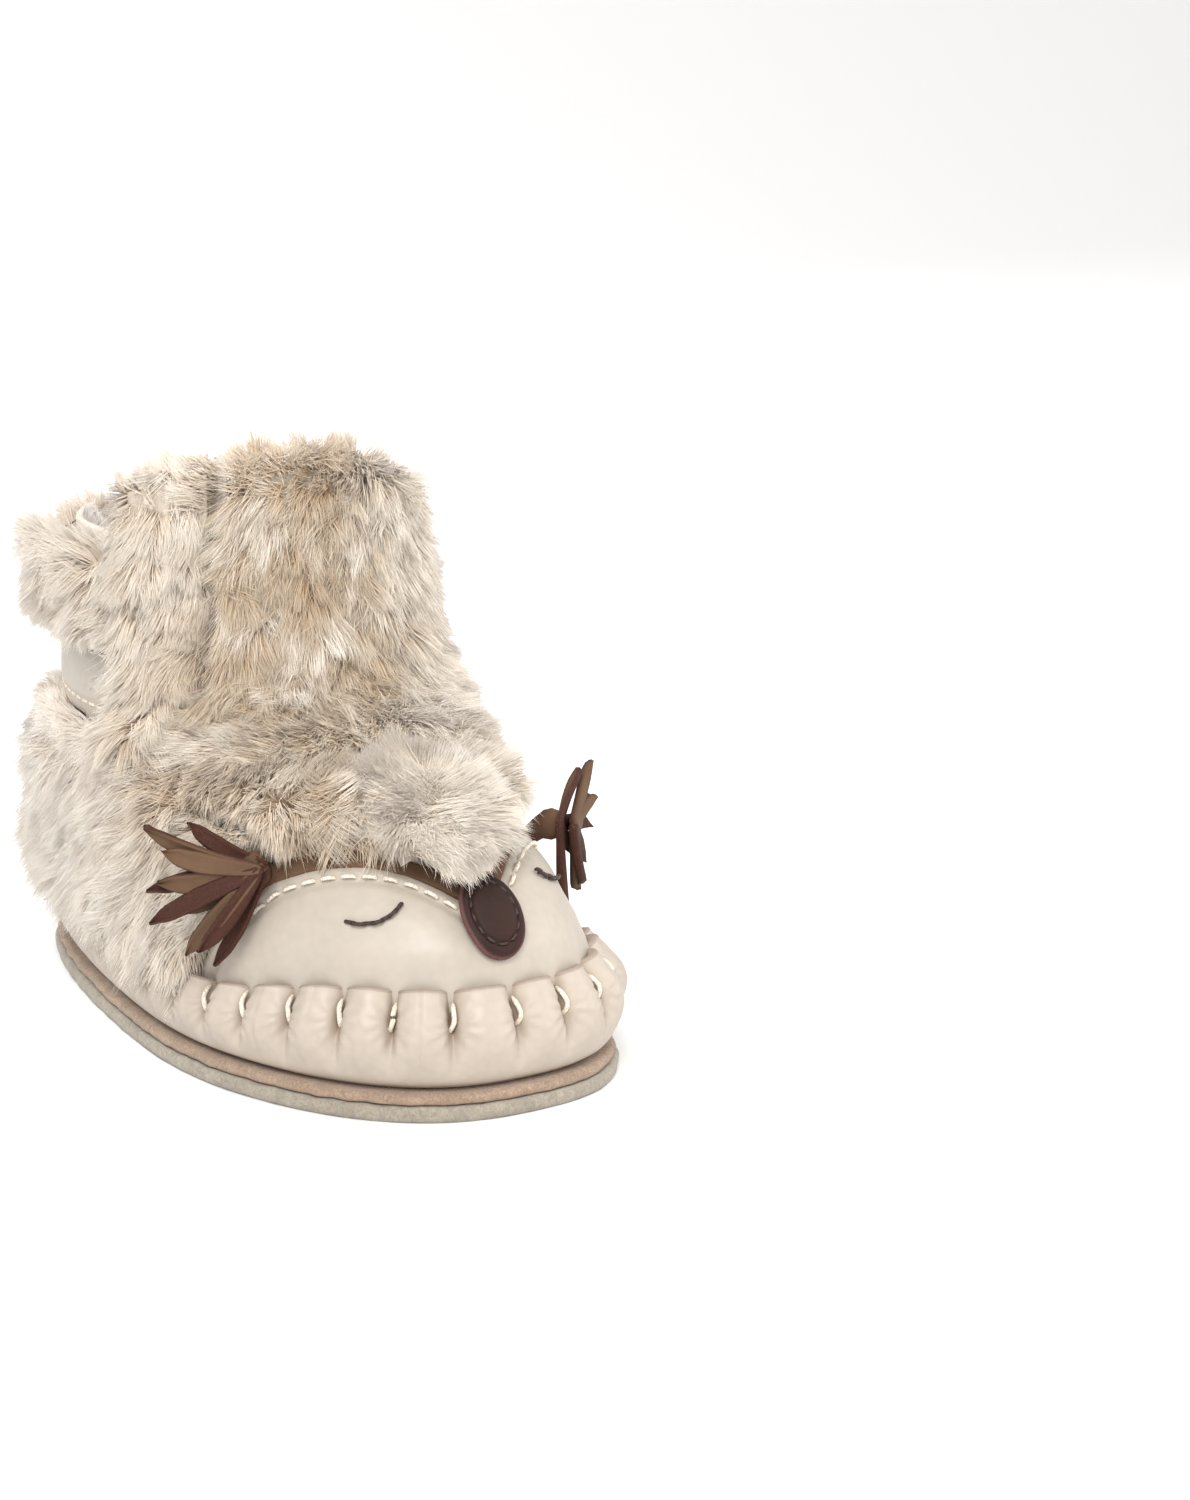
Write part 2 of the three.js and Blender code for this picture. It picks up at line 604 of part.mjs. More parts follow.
function wingRegion(side, hem, z0) {
  return box(-FAR, FAR, WING_FRONT + GAP / 2, WING_REAR - hem, z0, TONGUE_TOP).intersect(sideOf(side));
}

const wingFur = (side) => shell(WING_IN, WING_OUT).intersect(wingRegion(side, 0, FOLD_HIGH));

function wingLining(side) {
  const region = wingRegion(side, WING_HEM, STRAP_HIGH + GAP);
  return shell(WING_IN - GAP - LINING, WING_IN - GAP).intersect(region);
}

// ---- materials ----
const material = (color, roughness) => new THREE.MeshStandardMaterial({ color, roughness, metalness: 0 });
const creamLeather = () => material(0xe2d3c0, 0.55);
const suede = () => material(0xc9c2b2, 0.95);
const tanSuede = () => material(0xb99a78, 0.9);
const fur = () => material(0xe6d8c8, 1);
const plush = () => material(0xefe4d6, 1);
const brownNubuck = () => material(0x5a4234, 0.85);
const noseLeather = () => material(0x3a211c, 0.7);
const creamThread = () => material(0xf1e8da, 0.8);
const darkThread = () => material(0x3b2620, 0.8);
const foam = () => material(0xf4f0e4, 0.9);
const hookTape = () => material(0xe9e2d6, 0.9);

const bootie = new THREE.Group();
function addPiece(group, name, made, surface) {
  const mesh = new THREE.Mesh(geometryOf(made), surface);
  mesh.name = name;
  group.add(mesh);
}

const sole = new THREE.Group();
addPiece(sole, "outsole", outsole(), suede());
addPiece(sole, "outsole_thread", outsoleThread(), creamThread());
addPiece(sole, "welt_layer", welt(), tanSuede());
addPiece(sole, "moccasin_band", moccasinBand(), creamLeather());
addPiece(sole, "pucker_thread", puckerThread(), creamThread());
addPiece(sole, "insole_foam", footLayer(FOAM_BASE, FOAM_BASE + FOAM_THICKNESS), foam());
addPiece(sole, "insole_sock", footLayer(SOCK_BASE, SOCK_BASE + SOCK_THICKNESS), plush());

const forefoot = new THREE.Group();
addPiece(forefoot, "foot_lining", footLining(), plush());
addPiece(forefoot, "face_panel", facePanel(), creamLeather());
addPiece(forefoot, "nose_patch", nosePatch(), noseLeather());
addPiece(forefoot, "nose_thread", noseThread(), darkThread());
addPiece(forefoot, "fur_forelock", forelock(), fur());
addPiece(forefoot, "vamp_fur", vampFur(), fur());

const ankle = new THREE.Group();
addPiece(ankle, "shaft_wall", shaftWall(), creamLeather());
addPiece(ankle, "shaft_lining", shaftLining(), plush());
addPiece(ankle, "collar_fur", collarFur(), fur());
addPiece(ankle, "ankle_strap", ankleStrap(), creamLeather());
addPiece(ankle, "strap_thread_upper", strapThread(STRAP_HIGH - STRAP_STITCH_INSET), creamThread());
addPiece(ankle, "strap_thread_lower", strapThread(STRAP_LOW + STRAP_STITCH_INSET), creamThread());

const tongue = new THREE.Group();
addPiece(tongue, "tongue_fur", tongueFur(), fur());
addPiece(tongue, "tongue_lining", tongueLining(), plush());

for (const [side, label] of [[-1, "outer"], [1, "inner"]]) {
  addPiece(forefoot, "face_thread_" + label, faceThread(side, FINE_THREAD), creamThread());
  addPiece(forefoot, "eye_" + label, eye(side), darkThread());
  addPiece(forefoot, "brow_strip_" + label, browStrip(side), brownNubuck());
  addPiece(forefoot, "ear_fringe_" + label, earFringe(side), brownNubuck());
  addPiece(forefoot, "quarter_fur_" + label, quarterFur(side), fur());
  addPiece(ankle, "loop_pad_" + label, pad(side, LOOP_IN, LOOP_OUT), hookTape());
  addPiece(tongue, "hook_pad_" + label, pad(side, HOOK_IN, HOOK_OUT), hookTape());
  addPiece(tongue, "wing_fur_" + label, wingFur(side), fur());
  addPiece(tongue, "wing_lining_" + label, wingLining(side), plush());
}

bootie.add(sole, forefoot, ankle, tongue);

export default bootie;
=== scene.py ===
"""Dresses the packed frame of a baby's moccasin bootie: pile, leather, suede, stitches, floor, light and camera."""

import math

import bmesh
import bpy
import numpy as np
from bpy.props import FloatProperty, FloatVectorProperty, IntProperty, PointerProperty
from mathutils import Matrix, Vector
from mathutils.bvhtree import BVHTree


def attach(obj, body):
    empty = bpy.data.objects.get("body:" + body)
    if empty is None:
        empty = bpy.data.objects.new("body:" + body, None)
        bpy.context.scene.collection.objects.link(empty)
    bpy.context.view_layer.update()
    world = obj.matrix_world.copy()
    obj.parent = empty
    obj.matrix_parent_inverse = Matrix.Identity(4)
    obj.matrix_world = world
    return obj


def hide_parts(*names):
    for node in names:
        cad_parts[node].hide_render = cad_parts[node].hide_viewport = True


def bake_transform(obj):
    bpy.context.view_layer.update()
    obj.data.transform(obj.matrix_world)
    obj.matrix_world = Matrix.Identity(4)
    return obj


bl_info = {
    "name": "Baby bootie maker",
    "version": (1, 0, 0),
    "blender": (4, 5, 0),
    "location": "3D View > Sidebar > Bootie",
    "description": "Builds the pile, leather and stitching of a moccasin bootie around its frame",
    "category": "Object",
}

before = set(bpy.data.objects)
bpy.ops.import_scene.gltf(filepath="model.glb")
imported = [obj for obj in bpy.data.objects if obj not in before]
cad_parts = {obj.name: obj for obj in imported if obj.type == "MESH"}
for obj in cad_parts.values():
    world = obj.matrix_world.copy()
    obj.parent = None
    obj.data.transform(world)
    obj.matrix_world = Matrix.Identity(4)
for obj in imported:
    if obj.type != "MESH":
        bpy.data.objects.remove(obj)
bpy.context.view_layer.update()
MM = 0.001

# ---- sizes that the frame was made with, in millimetres ----
TOE, HEEL = -56.1, 56.1
ANKLE_FRONT, ANKLE_REAR = -9.0, 46.5
BAND_BASE, BAND_TOP, INSTEP = 4.2, 14.0, 43.0
LEATHER, GAP = 1.3, 0.3
WING_FRONT, WING_REAR, FOLD_LINE = -8.0, 6.5, -26.0
TONGUE_TOP, COLLAR_TOP, STRAP_LOW, STRAP_HIGH = 84.0, 71.0, 43.6, 55.6
FACE_SIDE, FACE_CUSP, STRIP_WIDTH = 37.0, 4.5, 3.6
PLEATS, BAND_LENGTH = 36, 310.0
SIDES = ((-1, "outer"), (1, "inner"))
SOLE = {"front": -61.0, "rear": 61.0, "ball": 31.5, "heel": 25.5, "arch": 1.6, "swing": 3.0, "power": 2.5}


def mix(a, b, t):
    return a + (b - a) * t


def ease(x, low, high):
    t = np.clip((np.asarray(x, float) - low) / (high - low), 0, 1)
    return t * t * (3 - 2 * t)


def unit(v):
    return v / np.maximum(np.linalg.norm(v, axis=-1, keepdims=True), 1e-9)


def hump(x, width):
    return np.exp(-((np.asarray(x, float) / width) ** 2))


def run_of(path):
    """How far along a path each of its points lies."""
    return np.concatenate([[0], np.cumsum(np.linalg.norm(np.diff(path, axis=0), axis=1))])


# ---- the shape of the foot ----
# height 0 at the band's top and 1 at the fold; then toe, heel and girth from the foot's outline to the ankle's
STATIONS = np.array([
    (-1, 0, 0, 0), (0.1, 0, 0, 0), (0.27, 0.02, 0.03, 0.05), (0.4, 0.08, 0.08, 0.15), (0.55, 0.17, 0.15, 0.3),
    (0.66, 0.26, 0.22, 0.42), (0.75, 0.37, 0.32, 0.55), (0.84, 0.52, 0.45, 0.7), (0.93, 0.72, 0.62, 0.85),
    (1.03, 0.88, 0.8, 0.95), (1.2, 0.97, 0.95, 1), (1.5, 1, 1, 1), (2.1, 1.02, 0.75, 1.07), (3.6, 1.0, 0.6, 1.15),
])
UPPER_INSET = 4.9
FINE = np.arange(-16, 120, 0.25)


def section_table():
    height, toe, heel, girth = STATIONS.T
    bare = np.clip(girth, 0, 1)
    rows = {
        "front": mix(TOE, ANKLE_FRONT, toe),
        "rear": mix(HEEL, ANKLE_REAR, heel),
        "ball": mix(SOLE["ball"] - UPPER_INSET, 21.5, girth),
        "heel": mix(SOLE["heel"] - UPPER_INSET, 21.5, girth),
        "arch": SOLE["arch"] * (1 - bare),
        "swing": SOLE["swing"] * (1 - bare),
        "power": mix(2.5, 2.1, bare),
    }
    soft = np.hanning(19)
    soft /= soft.sum()
    levels = mix(BAND_TOP, INSTEP, height)
    return {
        k: np.convolve(np.pad(np.interp(FINE, levels, v), 9, "edge"), soft, "valid")
        for k, v in rows.items()
    }


SECTIONS = section_table()


def section(z):
    return {k: np.interp(z, FINE, v) for k, v in SECTIONS.items()}


def outline(s, offset, angle):
    """A point of a cross section moved outwards; angle 90 degrees is the heel and -90 the toe."""
    sine, cosine = np.sin(angle), np.cos(angle)
    power = 2 / s["power"]
    along = np.sign(sine) * np.abs(sine) ** power
    y = (s["front"] + s["rear"]) / 2 + along * ((s["rear"] - s["front"]) / 2 + offset)
    half = mix(s["ball"], s["heel"], ease(along, -0.5, 0.75)) + offset
    x = np.sign(cosine) * np.abs(cosine) ** power * half
    x = x - (x > 0) * s["arch"] * np.exp(-((along / 0.4) ** 2)) * np.abs(cosine)
    return x + s["swing"] * np.maximum(0, -along) ** 2, y


def narrowed(p):
    """The foot is a little slimmer on its inner side, from the band up to the ankle."""
    share = 0.14 * ease(p[..., 2], 11, 25) * ease(-p[..., 1], -6, 8) * (p[..., 0] > 0)
    return np.stack([p[..., 0] * (1 - share), p[..., 1], p[..., 2]], -1)


def upper(angle, z, offset):
    angle, z = np.broadcast_arrays(np.asarray(angle, float), np.asarray(z, float))
    x, y = outline(section(z - offset), offset, angle)
    return narrowed(np.stack([x, y, z], -1))


def upper_normal(angle, z, offset):
    around = upper(angle + 0.03, z, offset) - upper(angle - 0.03, z, offset)
    rise = upper(angle, z + 0.4, offset) - upper(angle, z - 0.4, offset)
    return unit(np.cross(around, rise))


def even_angles(z, offset, start, end, count):
    dense = np.linspace(start, end, 3000)
    steps = np.linalg.norm(np.diff(upper(dense, z, offset), axis=0), axis=1)
    run = np.concatenate([[0], np.cumsum(steps)])
    return np.interp(np.linspace(0, run[-1], count), run, dense)


def down_angle(p):
    """Degrees down from the top of the foot, seen along it."""
    return np.degrees(np.arctan2(p[..., 0], p[..., 2] - BAND_TOP))


def heart_table():
    points = np.array([(0, 0), (12, 0.03), (34, 0.31), (56, 0.64), (90, 1), (120, 1.15)], float)
    degrees = np.arange(0, 180.5, 0.5)
    values = []
    for side in degrees:
        i = int(min(np.searchsorted(points[1:, 0], side), len(points) - 2))
        w = (side - points[i, 0]) / (points[i + 1, 0] - points[i, 0])
        w = min(w, 1.0)
        p0, p1, p2 = points[max(i - 1, 0), 1], points[i, 1], points[i + 1, 1]
        p3 = points[min(i + 2, len(points) - 1), 1]
        v0, v1 = (p2 - p0) / 2, (p3 - p1) / 2
        cubic = (2 * p1 - 2 * p2 + v0 + v1) * w**3 + (-3 * p1 + 3 * p2 - 2 * v0 - v1) * w**2
        values.append(cubic + v0 * w + p1)
    return degrees, np.array(values)


HEART = heart_table()


def heart(angle, setback=0.0):
    """Where the face panel's heart-shaped rear edge lies along the foot."""
    return TOE + mix(FACE_CUSP, FACE_SIDE, np.interp(np.abs(angle), *HEART)) + setback


TREES = {}


def skin_tree(offset):
    key = round(offset, 2)
    if key not in TREES:
        rows, columns = np.linspace(-6, 90, 220), 260
        angles = np.linspace(-math.pi, math.pi, columns, endpoint=False)
        points = upper(angles[None, :], rows[:, None], offset).reshape(-1, 3)
        TREES[key] = BVHTree.FromPolygons(points.tolist(), grid_faces(len(rows), columns, True))
    return TREES[key]


def cast(origin, direction, offset):
    hit = skin_tree(offset).ray_cast(Vector(origin), Vector(direction))
    if hit[0] is None:
        raise RuntimeError(f"nothing of the upper lies at {tuple(origin)}")
    return np.array(hit[0])


def on_upper(y, angle, offset):
    out = np.array([math.sin(math.radians(angle)), 0, math.cos(math.radians(angle))])
    return cast(np.array([0, y, BAND_TOP]) + 200 * out, -out, offset)


# ---- meshes ----
def new_object(name, data):
    made = bpy.data.objects.new(name, data)
    bpy.context.scene.collection.objects.link(made)
    return made


def new_piece(name, points, faces, material, merge=True, turn=True):
    """A mesh piece from points in millimetres: merge joins corners that meet, turn makes its faces look out."""
    mesh = bpy.data.meshes.new(name)
    mesh.from_pydata((np.asarray(points, float) * MM).tolist(), [], faces)
    if merge or turn:
        edit = bmesh.new()
        edit.from_mesh(mesh)
        if merge:
            bmesh.ops.remove_doubles(edit, verts=edit.verts, dist=2e-6)
            bmesh.ops.dissolve_degenerate(edit, edges=edit.edges, dist=1e-6)
        if turn:
            bmesh.ops.recalc_face_normals(edit, faces=edit.faces)
        edit.to_mesh(mesh)
        edit.free()
    mesh.shade_smooth()
    mesh.materials.append(material)
    return new_object(name, mesh)


def hinged(piece):
    """Bakes a wing's cloth in place where it stands, with no body to turn with."""
    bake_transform(piece)


def fit(piece, body, slot, *nodes):
    """Puts a finished piece on its body, or bakes a wing's fur and plush in place, and hides the frame nodes that it
    stands for.
    """
    if body.startswith("wing_") and slot in ("fur", "plush"):
        hinged(piece)
    else:
        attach(piece, body)
    if nodes:
        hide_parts(*nodes)
    return piece


def grid_faces(rows, columns, closed=False, start=0, flip=False):
    faces = []
    for i in range(rows - 1):
        for j in range(columns if closed else columns - 1):
            a, b = start + i * columns + j, start + i * columns + (j + 1) % columns
            quad = (a, b, b + columns, a + columns)
            faces.append(quad[::-1] if flip else quad)
    return faces


def slab(points, normals, thickness, closed=False):
    """A sheet of even thickness on a grid, with a rounded rim: points, faces, and 1 for its outer face."""
    rows, columns = points.shape[:2]
    half = thickness / 2
    outer, inner = points + normals * half, points - normals * half
    count = rows * columns
    faces = grid_faces(rows, columns, closed) + grid_faces(rows, columns, closed, count, True)
    index = np.arange(count).reshape(rows, columns)
    if closed:
        loops = [(index[0], points[0] - points[1], True), (index[-1], points[-1] - points[-2], False)]
    else:
        border = np.concatenate([index[0], index[1:, -1], index[-1, -2::-1], index[-2:0:-1, 0]])
        flat = points.reshape(-1, 3)
        inward = np.concatenate([index[min(1, rows - 1)], index[1:, -2], index[-2, -2::-1], index[-2:0:-1, 1]])
        loops = [(border, flat[border] - flat[inward], True)]
    all_points = [outer.reshape(-1, 3), inner.reshape(-1, 3)]
    total = 2 * count
    for loop, away, turn in loops:
        middle = points.reshape(-1, 3)[loop] + unit(away) * half * 0.8
        all_points.append(middle)
        for k in range(len(loop)):
            n = (k + 1) % len(loop)
            a, b, c, d = loop[k], loop[n], total + k, total + n
            strip = [(a, c, d, b), (c, a + count, b + count, d)]
            faces += strip if turn else [f[::-1] for f in strip]
        total += len(loop)
    side = np.concatenate([np.ones(count), np.zeros(total - count)])
    return np.concatenate(all_points), faces, side


def tube(path, radius, sides=6):
    """A round thread along a path, closed with tapered ends."""
    path = np.asarray(path, float)
    along = unit(np.gradient(path, axis=0))
    reference = np.array([0.31, 0.22, 0.93])
    across = unit(np.cross(along, reference))
    other = np.cross(along, across)
    turn = np.linspace(0, 2 * math.pi, sides, endpoint=False)
    size = np.full(len(path), radius)
    size[[0, -1]] *= 0.55
    spokes = np.cos(turn)[None, :, None] * across[:, None] + np.sin(turn)[None, :, None] * other[:, None]
    rings = path[:, None] + size[:, None, None] * spokes
    faces = grid_faces(len(path), sides, True)
    last = (len(path) - 1) * sides
    faces += [tuple(range(sides))[::-1], tuple(range(last, last + sides))]
    return rings.reshape(-1, 3), faces


def joined(parts):
    points, faces, total = [], [], 0
    for p, f in parts:
        points.append(p)
        faces += [tuple(i + total for i in face) for face in f]
        total += len(p)
    return np.concatenate(points), faces


def resampled(path, count):
    path = np.asarray(path, float)
    run = run_of(path)
    return np.stack([np.interp(np.linspace(0, run[-1], count), run, path[:, k]) for k in range(3)], -1)


def stitches(path, normals, length, gap, radius, dip=0.5):
    """A row of separate stitches along a path on a face: each rises out of the leather and dives back in."""
    path = np.asarray(path, float)
    run = run_of(path)
    count = max(1, int(run[-1] / (length + gap)))
    parts = []
    for k in range(count):
        at = (k + np.linspace(0, 1, 8) * length / (length + gap)) * run[-1] / count
        p = np.stack([np.interp(at, run, path[:, i]) for i in range(3)], -1)
        n = unit(np.stack([np.interp(at, run, normals[:, i]) for i in range(3)], -1))
        rise = radius * 0.75 - (dip + radius) * (np.abs(np.linspace(-1, 1, 8)) ** 6)
        parts.append(tube(p + n * rise[:, None], radius))
    return joined(parts)


def set_value(piece, name, values):
    layer = piece.data.attributes.new(name, "FLOAT", "POINT")
    layer.data.foreach_set("value", np.asarray(values, np.float32))


# ---- pile ----
def waves(points, rng, size, count=7):
    """Soft random hills between about -1 and 1, of a size in millimetres."""
    total = np.zeros(len(points))
    for _ in range(count):
        direction = unit(rng.normal(size=3)) * rng.uniform(0.6, 1.6) * 2 * math.pi / size
        total += np.sin(points @ direction + rng.uniform(0, 6.3))
    return total / math.sqrt(count)


def sample(rng, count, region, z_range, offset, angles=(-math.pi, math.pi)):
    """Random roots spread evenly over a region of the upper: points and normals."""
    angle = rng.uniform(*angles, 40 * count)
    z = rng.uniform(*z_range, 40 * count)
    around = upper(angle + 0.01, z, offset) - upper(angle - 0.01, z, offset)
    rise = upper(angle, z + 0.1, offset) - upper(angle, z - 0.1, offset)
    area = np.linalg.norm(np.cross(around, rise), axis=1)
    points = upper(angle, z, offset)
    inside = region(points) & (rng.uniform(size=len(angle)) < area / np.quantile(area, 0.98))
    chosen = np.flatnonzero(inside)[:count]
    return points[chosen], upper_normal(angle[chosen], z[chosen], offset)


def nearest(points, centres):
    found = np.empty(len(points), int)
    for i in range(0, len(points), 2000):
        gaps = ((points[i : i + 2000, None] - centres[None]) ** 2).sum(2)
        found[i : i + 2000] = gaps.argmin(1)
    return found


def combed(roots, normals, flow, length, lean, segments):
    """Strand paths that rise along the normal and bend over into the flow."""
    path = [roots]
    for k in range(segments):
        bend = mix(lean[0], lean[1], (k + 0.5) / segments)
        step = normals * np.cos(bend)[:, None] + flow * np.sin(bend)[:, None]
        path.append(path[-1] + step * (length / segments)[:, None])
    return np.stack(path, 1)


def pile_mesh(name, paths, width, material, values, lit):
    """Closed three-sided hairs as one mesh, shaded partly as the surface that they cover (lit).

    values holds per-hair shades; each hair gets a cell of a colour map.
    """
    count, knots = paths.shape[:2]
    rings = knots - 1
    along = unit(np.gradient(paths, axis=1))
    across = unit(np.cross(along, np.array([0.37, -0.51, 0.77])))
    other = np.cross(along, across)
    turn = np.arange(3) * 2 * math.pi / 3
    size = (width / 2 * np.linspace(1, 0.72, rings))[None, :, None, None]
    spread = np.cos(turn)[None, None, :, None] * across[:, :rings, None]
    spread = spread + np.sin(turn)[None, None, :, None] * other[:, :rings, None]
    hoops = paths[:, :rings, None] + size * spread
    each = rings * 3 + 1
    points = np.concatenate([hoops.reshape(count, rings * 3, 3), paths[:, -1:]], 1)
    loops, totals, uv = [], [], []
    for r in range(rings - 1):
        for s in range(3):
            n = (s + 1) % 3
            loops += [r * 3 + s, r * 3 + n, (r + 1) * 3 + n, (r + 1) * 3 + s]
            uv += [(s, r), (s + 1, r), (s + 1, r + 1), (s, r + 1)]
            totals.append(4)
    for s in range(3):
        base = (rings - 1) * 3
        loops += [base + s, base + (s + 1) % 3, rings * 3]
        uv += [(s, rings - 1), (s + 1, rings - 1), (s + 0.5, rings)]
        totals.append(3)
    loops += [2, 1, 0]
    uv += [(3.2, 0), (3.6, 0), (3.4, 0.4)]
    totals.append(3)
    loops, totals, uv = np.array(loops), np.array(totals), np.array(uv, float)
    mesh = bpy.data.meshes.new(name)
    mesh.vertices.add(count * each)
    mesh.vertices.foreach_set("co", (points.reshape(-1) * MM).astype(np.float32))
    mesh.loops.add(count * len(loops))
    hair = np.arange(count)[:, None]
    mesh.loops.foreach_set("vertex_index", (loops[None] + hair * each).ravel().astype(np.int32))
    mesh.polygons.add(count * len(totals))
    starts = np.concatenate([[0], np.cumsum(totals)[:-1]])
    mesh.polygons.foreach_set("loop_start", (starts[None] + hair * len(loops)).ravel().astype(np.int32))
    mesh.update(calc_edges=True)
    mesh.shade_smooth()
    side = math.ceil(math.sqrt(count))
    cell = np.stack([np.arange(count) % side, np.arange(count) // side], -1)[:, None]
    inside = 0.08 + 0.84 * uv / np.array([4.0, rings])
    layer = mesh.uv_layers.new(name="OFBake")
    layer.data.foreach_set("uv", ((cell + inside[None]) / side).ravel().astype(np.float32))
    own = np.concatenate([np.broadcast_to(spread, hoops.shape).reshape(count, rings * 3, 3), along[:, -1:]], 1)
    mesh.normals_split_custom_set_from_vertices(unit(0.45 * own + 0.75 * lit[:, None]).reshape(-1, 3))
    mesh.materials.append(material)
    piece = new_object(name, mesh)
    reach = np.concatenate([np.repeat(np.arange(rings) / rings, 3), [1.0]])
    set_value(piece, "reach", np.tile(reach, count))
    for key, per_hair in values.items():
        set_value(piece, key, np.repeat(per_hair, each))
    return piece


def pile(name, rng, roots, normals, flow, material, length=8.0, width=0.2, clump=3.2, gather=0.55, swirl=0.5,
         lean=(0.45, 1.3), segments=2, tan=None, stray=0.03):
    """Long pile over a backing: strands in clumps whose tips draw together."""
    count = len(roots)
    down = unit(flow - (flow * normals).sum(1, keepdims=True) * normals)
    side = np.cross(normals, down)
    turn = swirl * waves(roots, rng, 9.0) + 0.35 * swirl * waves(roots, rng, 3.5) + rng.normal(0, 0.22, count)
    heading = down * np.cos(turn)[:, None] + side * np.sin(turn)[:, None]
    size = length * np.clip(1 + 0.16 * waves(roots, rng, 6.0) + rng.normal(0, 0.12, count), 0.45, 1.5)
    rise = np.clip(0.16 * waves(roots, rng, 7.0) + rng.normal(0, 0.1, count), -0.35, 0.35)
    path = combed(roots, normals, heading, size, (lean[0] - rise, lean[1] - rise), segments)
    centres = rng.choice(count, int(np.clip(surface_of(roots) / clump**2, 4, count)), replace=False)
    owner = centres[nearest(roots, roots[centres])]
    knots = np.linspace(0, 1, segments + 1)
    pull = gather * knots**1.5
    loose = rng.uniform(size=count) < stray
    pull = pull[None, :, None] * np.where(loose, 0.0, rng.uniform(0.6, 1.15, count))[:, None, None]
    path += (path[owner] - path) * pull
    if loose.any():
        path[loose, 1:] += normals[loose, None] * (knots[1:] * 1.1)[None, :, None]
    tint = np.clip(0.5 + 0.2 * waves(roots[owner], rng, 5.0) + rng.normal(0, 0.12, count), 0, 1)
    warm = np.clip(0.5 + 0.35 * waves(roots, rng, 16.0), 0, 1) * (1 if tan is None else tan(roots))
    return pile_mesh(name, path, width, material, {"tint": tint, "warm": np.clip(warm, 0, 1)}, normals)


def surface_of(roots):
    """A rough area covered by roots, from how many cells of a coarse grid they fill."""
    cells = np.unique(np.round(roots / 2.5).astype(int), axis=0)
    return len(cells) * 2.5 * 2.5 * 0.62


# ---- finishes ----
def new_group(name, inputs, outputs):
    group = bpy.data.node_groups.new(name, "ShaderNodeTree")
    for title, kind, default in inputs:
        socket = group.interface.new_socket(title, in_out="INPUT", socket_type=kind)
        socket.default_value = default
    for title, kind in outputs:
        group.interface.new_socket(title, in_out="OUTPUT", socket_type=kind)
    return group, group.nodes.new("NodeGroupInput"), group.nodes.new("NodeGroupOutput")


def node(tree, kind, links=(), **settings):
    """A shader node with its settings made and its inputs linked or set, by name or number."""
    made = tree.nodes.new(kind)
    for key, value in settings.items():
        setattr(made, key, value)
    for key, value in dict(links).items():
        if isinstance(value, bpy.types.NodeSocket):
            tree.links.new(value, made.inputs[key])
        else:
            made.inputs[key].default_value = value
    return made


def ramp(tree, source, low, high):
    return node(tree, "ShaderNodeMapRange", {0: source, 1: low, 2: high}, interpolation_type="SMOOTHSTEP").outputs[0]


def blended(tree, share, a, b):
    return node(tree, "ShaderNodeMix", {0: share, 6: a, 7: b}, data_type="RGBA").outputs[2]


def math_node(tree, operation, a, b):
    return node(tree, "ShaderNodeMath", {0: a, 1: b}, operation=operation).outputs[0]


def grain_group():
    """Leather: pebbled grain, soft creases, and pores that darken a little."""
    group, given, result = new_group(
        "leather_grain",
        [("Scale", "NodeSocketFloat", 900.0), ("Crease", "NodeSocketFloat", 0.4)],
        [("Height", "NodeSocketFloat"), ("Shade", "NodeSocketFloat"), ("Wear", "NodeSocketFloat")],
    )
    where = node(group, "ShaderNodeTexCoord").outputs["Object"]
    scale = given.outputs["Scale"]
    pebble = node(group, "ShaderNodeTexVoronoi", {"Vector": where, "Scale": scale}, feature="SMOOTH_F1").outputs[0]
    third = math_node(group, "MULTIPLY", scale, 0.16)
    folds = {"Vector": where, "Scale": third, "Detail": 5.0, "Distortion": 1.2}
    crease = node(group, "ShaderNodeTexNoise", folds).outputs[0]
    fold = math_node(group, "MULTIPLY", crease, given.outputs["Crease"])
    group.links.new(math_node(group, "ADD", math_node(group, "MULTIPLY", pebble, 0.5), fold), result.inputs["Height"])
    group.links.new(ramp(group, pebble, 0.15, 0.75), result.inputs["Shade"])
    wide = math_node(group, "MULTIPLY", scale, 0.06)
    cloud = node(group, "ShaderNodeTexNoise", {"Vector": where, "Scale": wide, "Detail": 3.0})
    group.links.new(ramp(group, cloud.outputs[0], 0.35, 0.7), result.inputs["Wear"])
    return group


def nap_group():
    """Suede: short fibres lying in every direction over a mottled ground."""
    group, given, result = new_group(
        "suede_nap",
        [("Scale", "NodeSocketFloat", 900.0)],
        [("Height", "NodeSocketFloat"), ("Fibre", "NodeSocketFloat"), ("Mottle", "NodeSocketFloat")],
    )
    where = node(group, "ShaderNodeTexCoord").outputs["Object"]
    scale = given.outputs["Scale"]
    lie = {"Vector": where, "Scale": scale, "Detail": 6.0, "Roughness": 0.75, "Distortion": 2.0}
    fibre = node(group, "ShaderNodeTexNoise", lie)
    wide = math_node(group, "MULTIPLY", scale, 0.22)
    mottle = node(group, "ShaderNodeTexNoise", {"Vector": where, "Scale": wide, "Detail": 4.0})
    speck = node(group, "ShaderNodeTexVoronoi", {"Vector": where, "Scale": math_node(group, "MULTIPLY", scale, 0.8)})
    height = math_node(group, "ADD", fibre.outputs[0], math_node(group, "MULTIPLY", speck.outputs[0], 0.5))
    group.links.new(height, result.inputs["Height"])
    group.links.new(ramp(group, fibre.outputs[0], 0.3, 0.7), result.inputs["Fibre"])
    group.links.new(ramp(group, mottle.outputs[0], 0.35, 0.65), result.inputs["Mottle"])
    return group


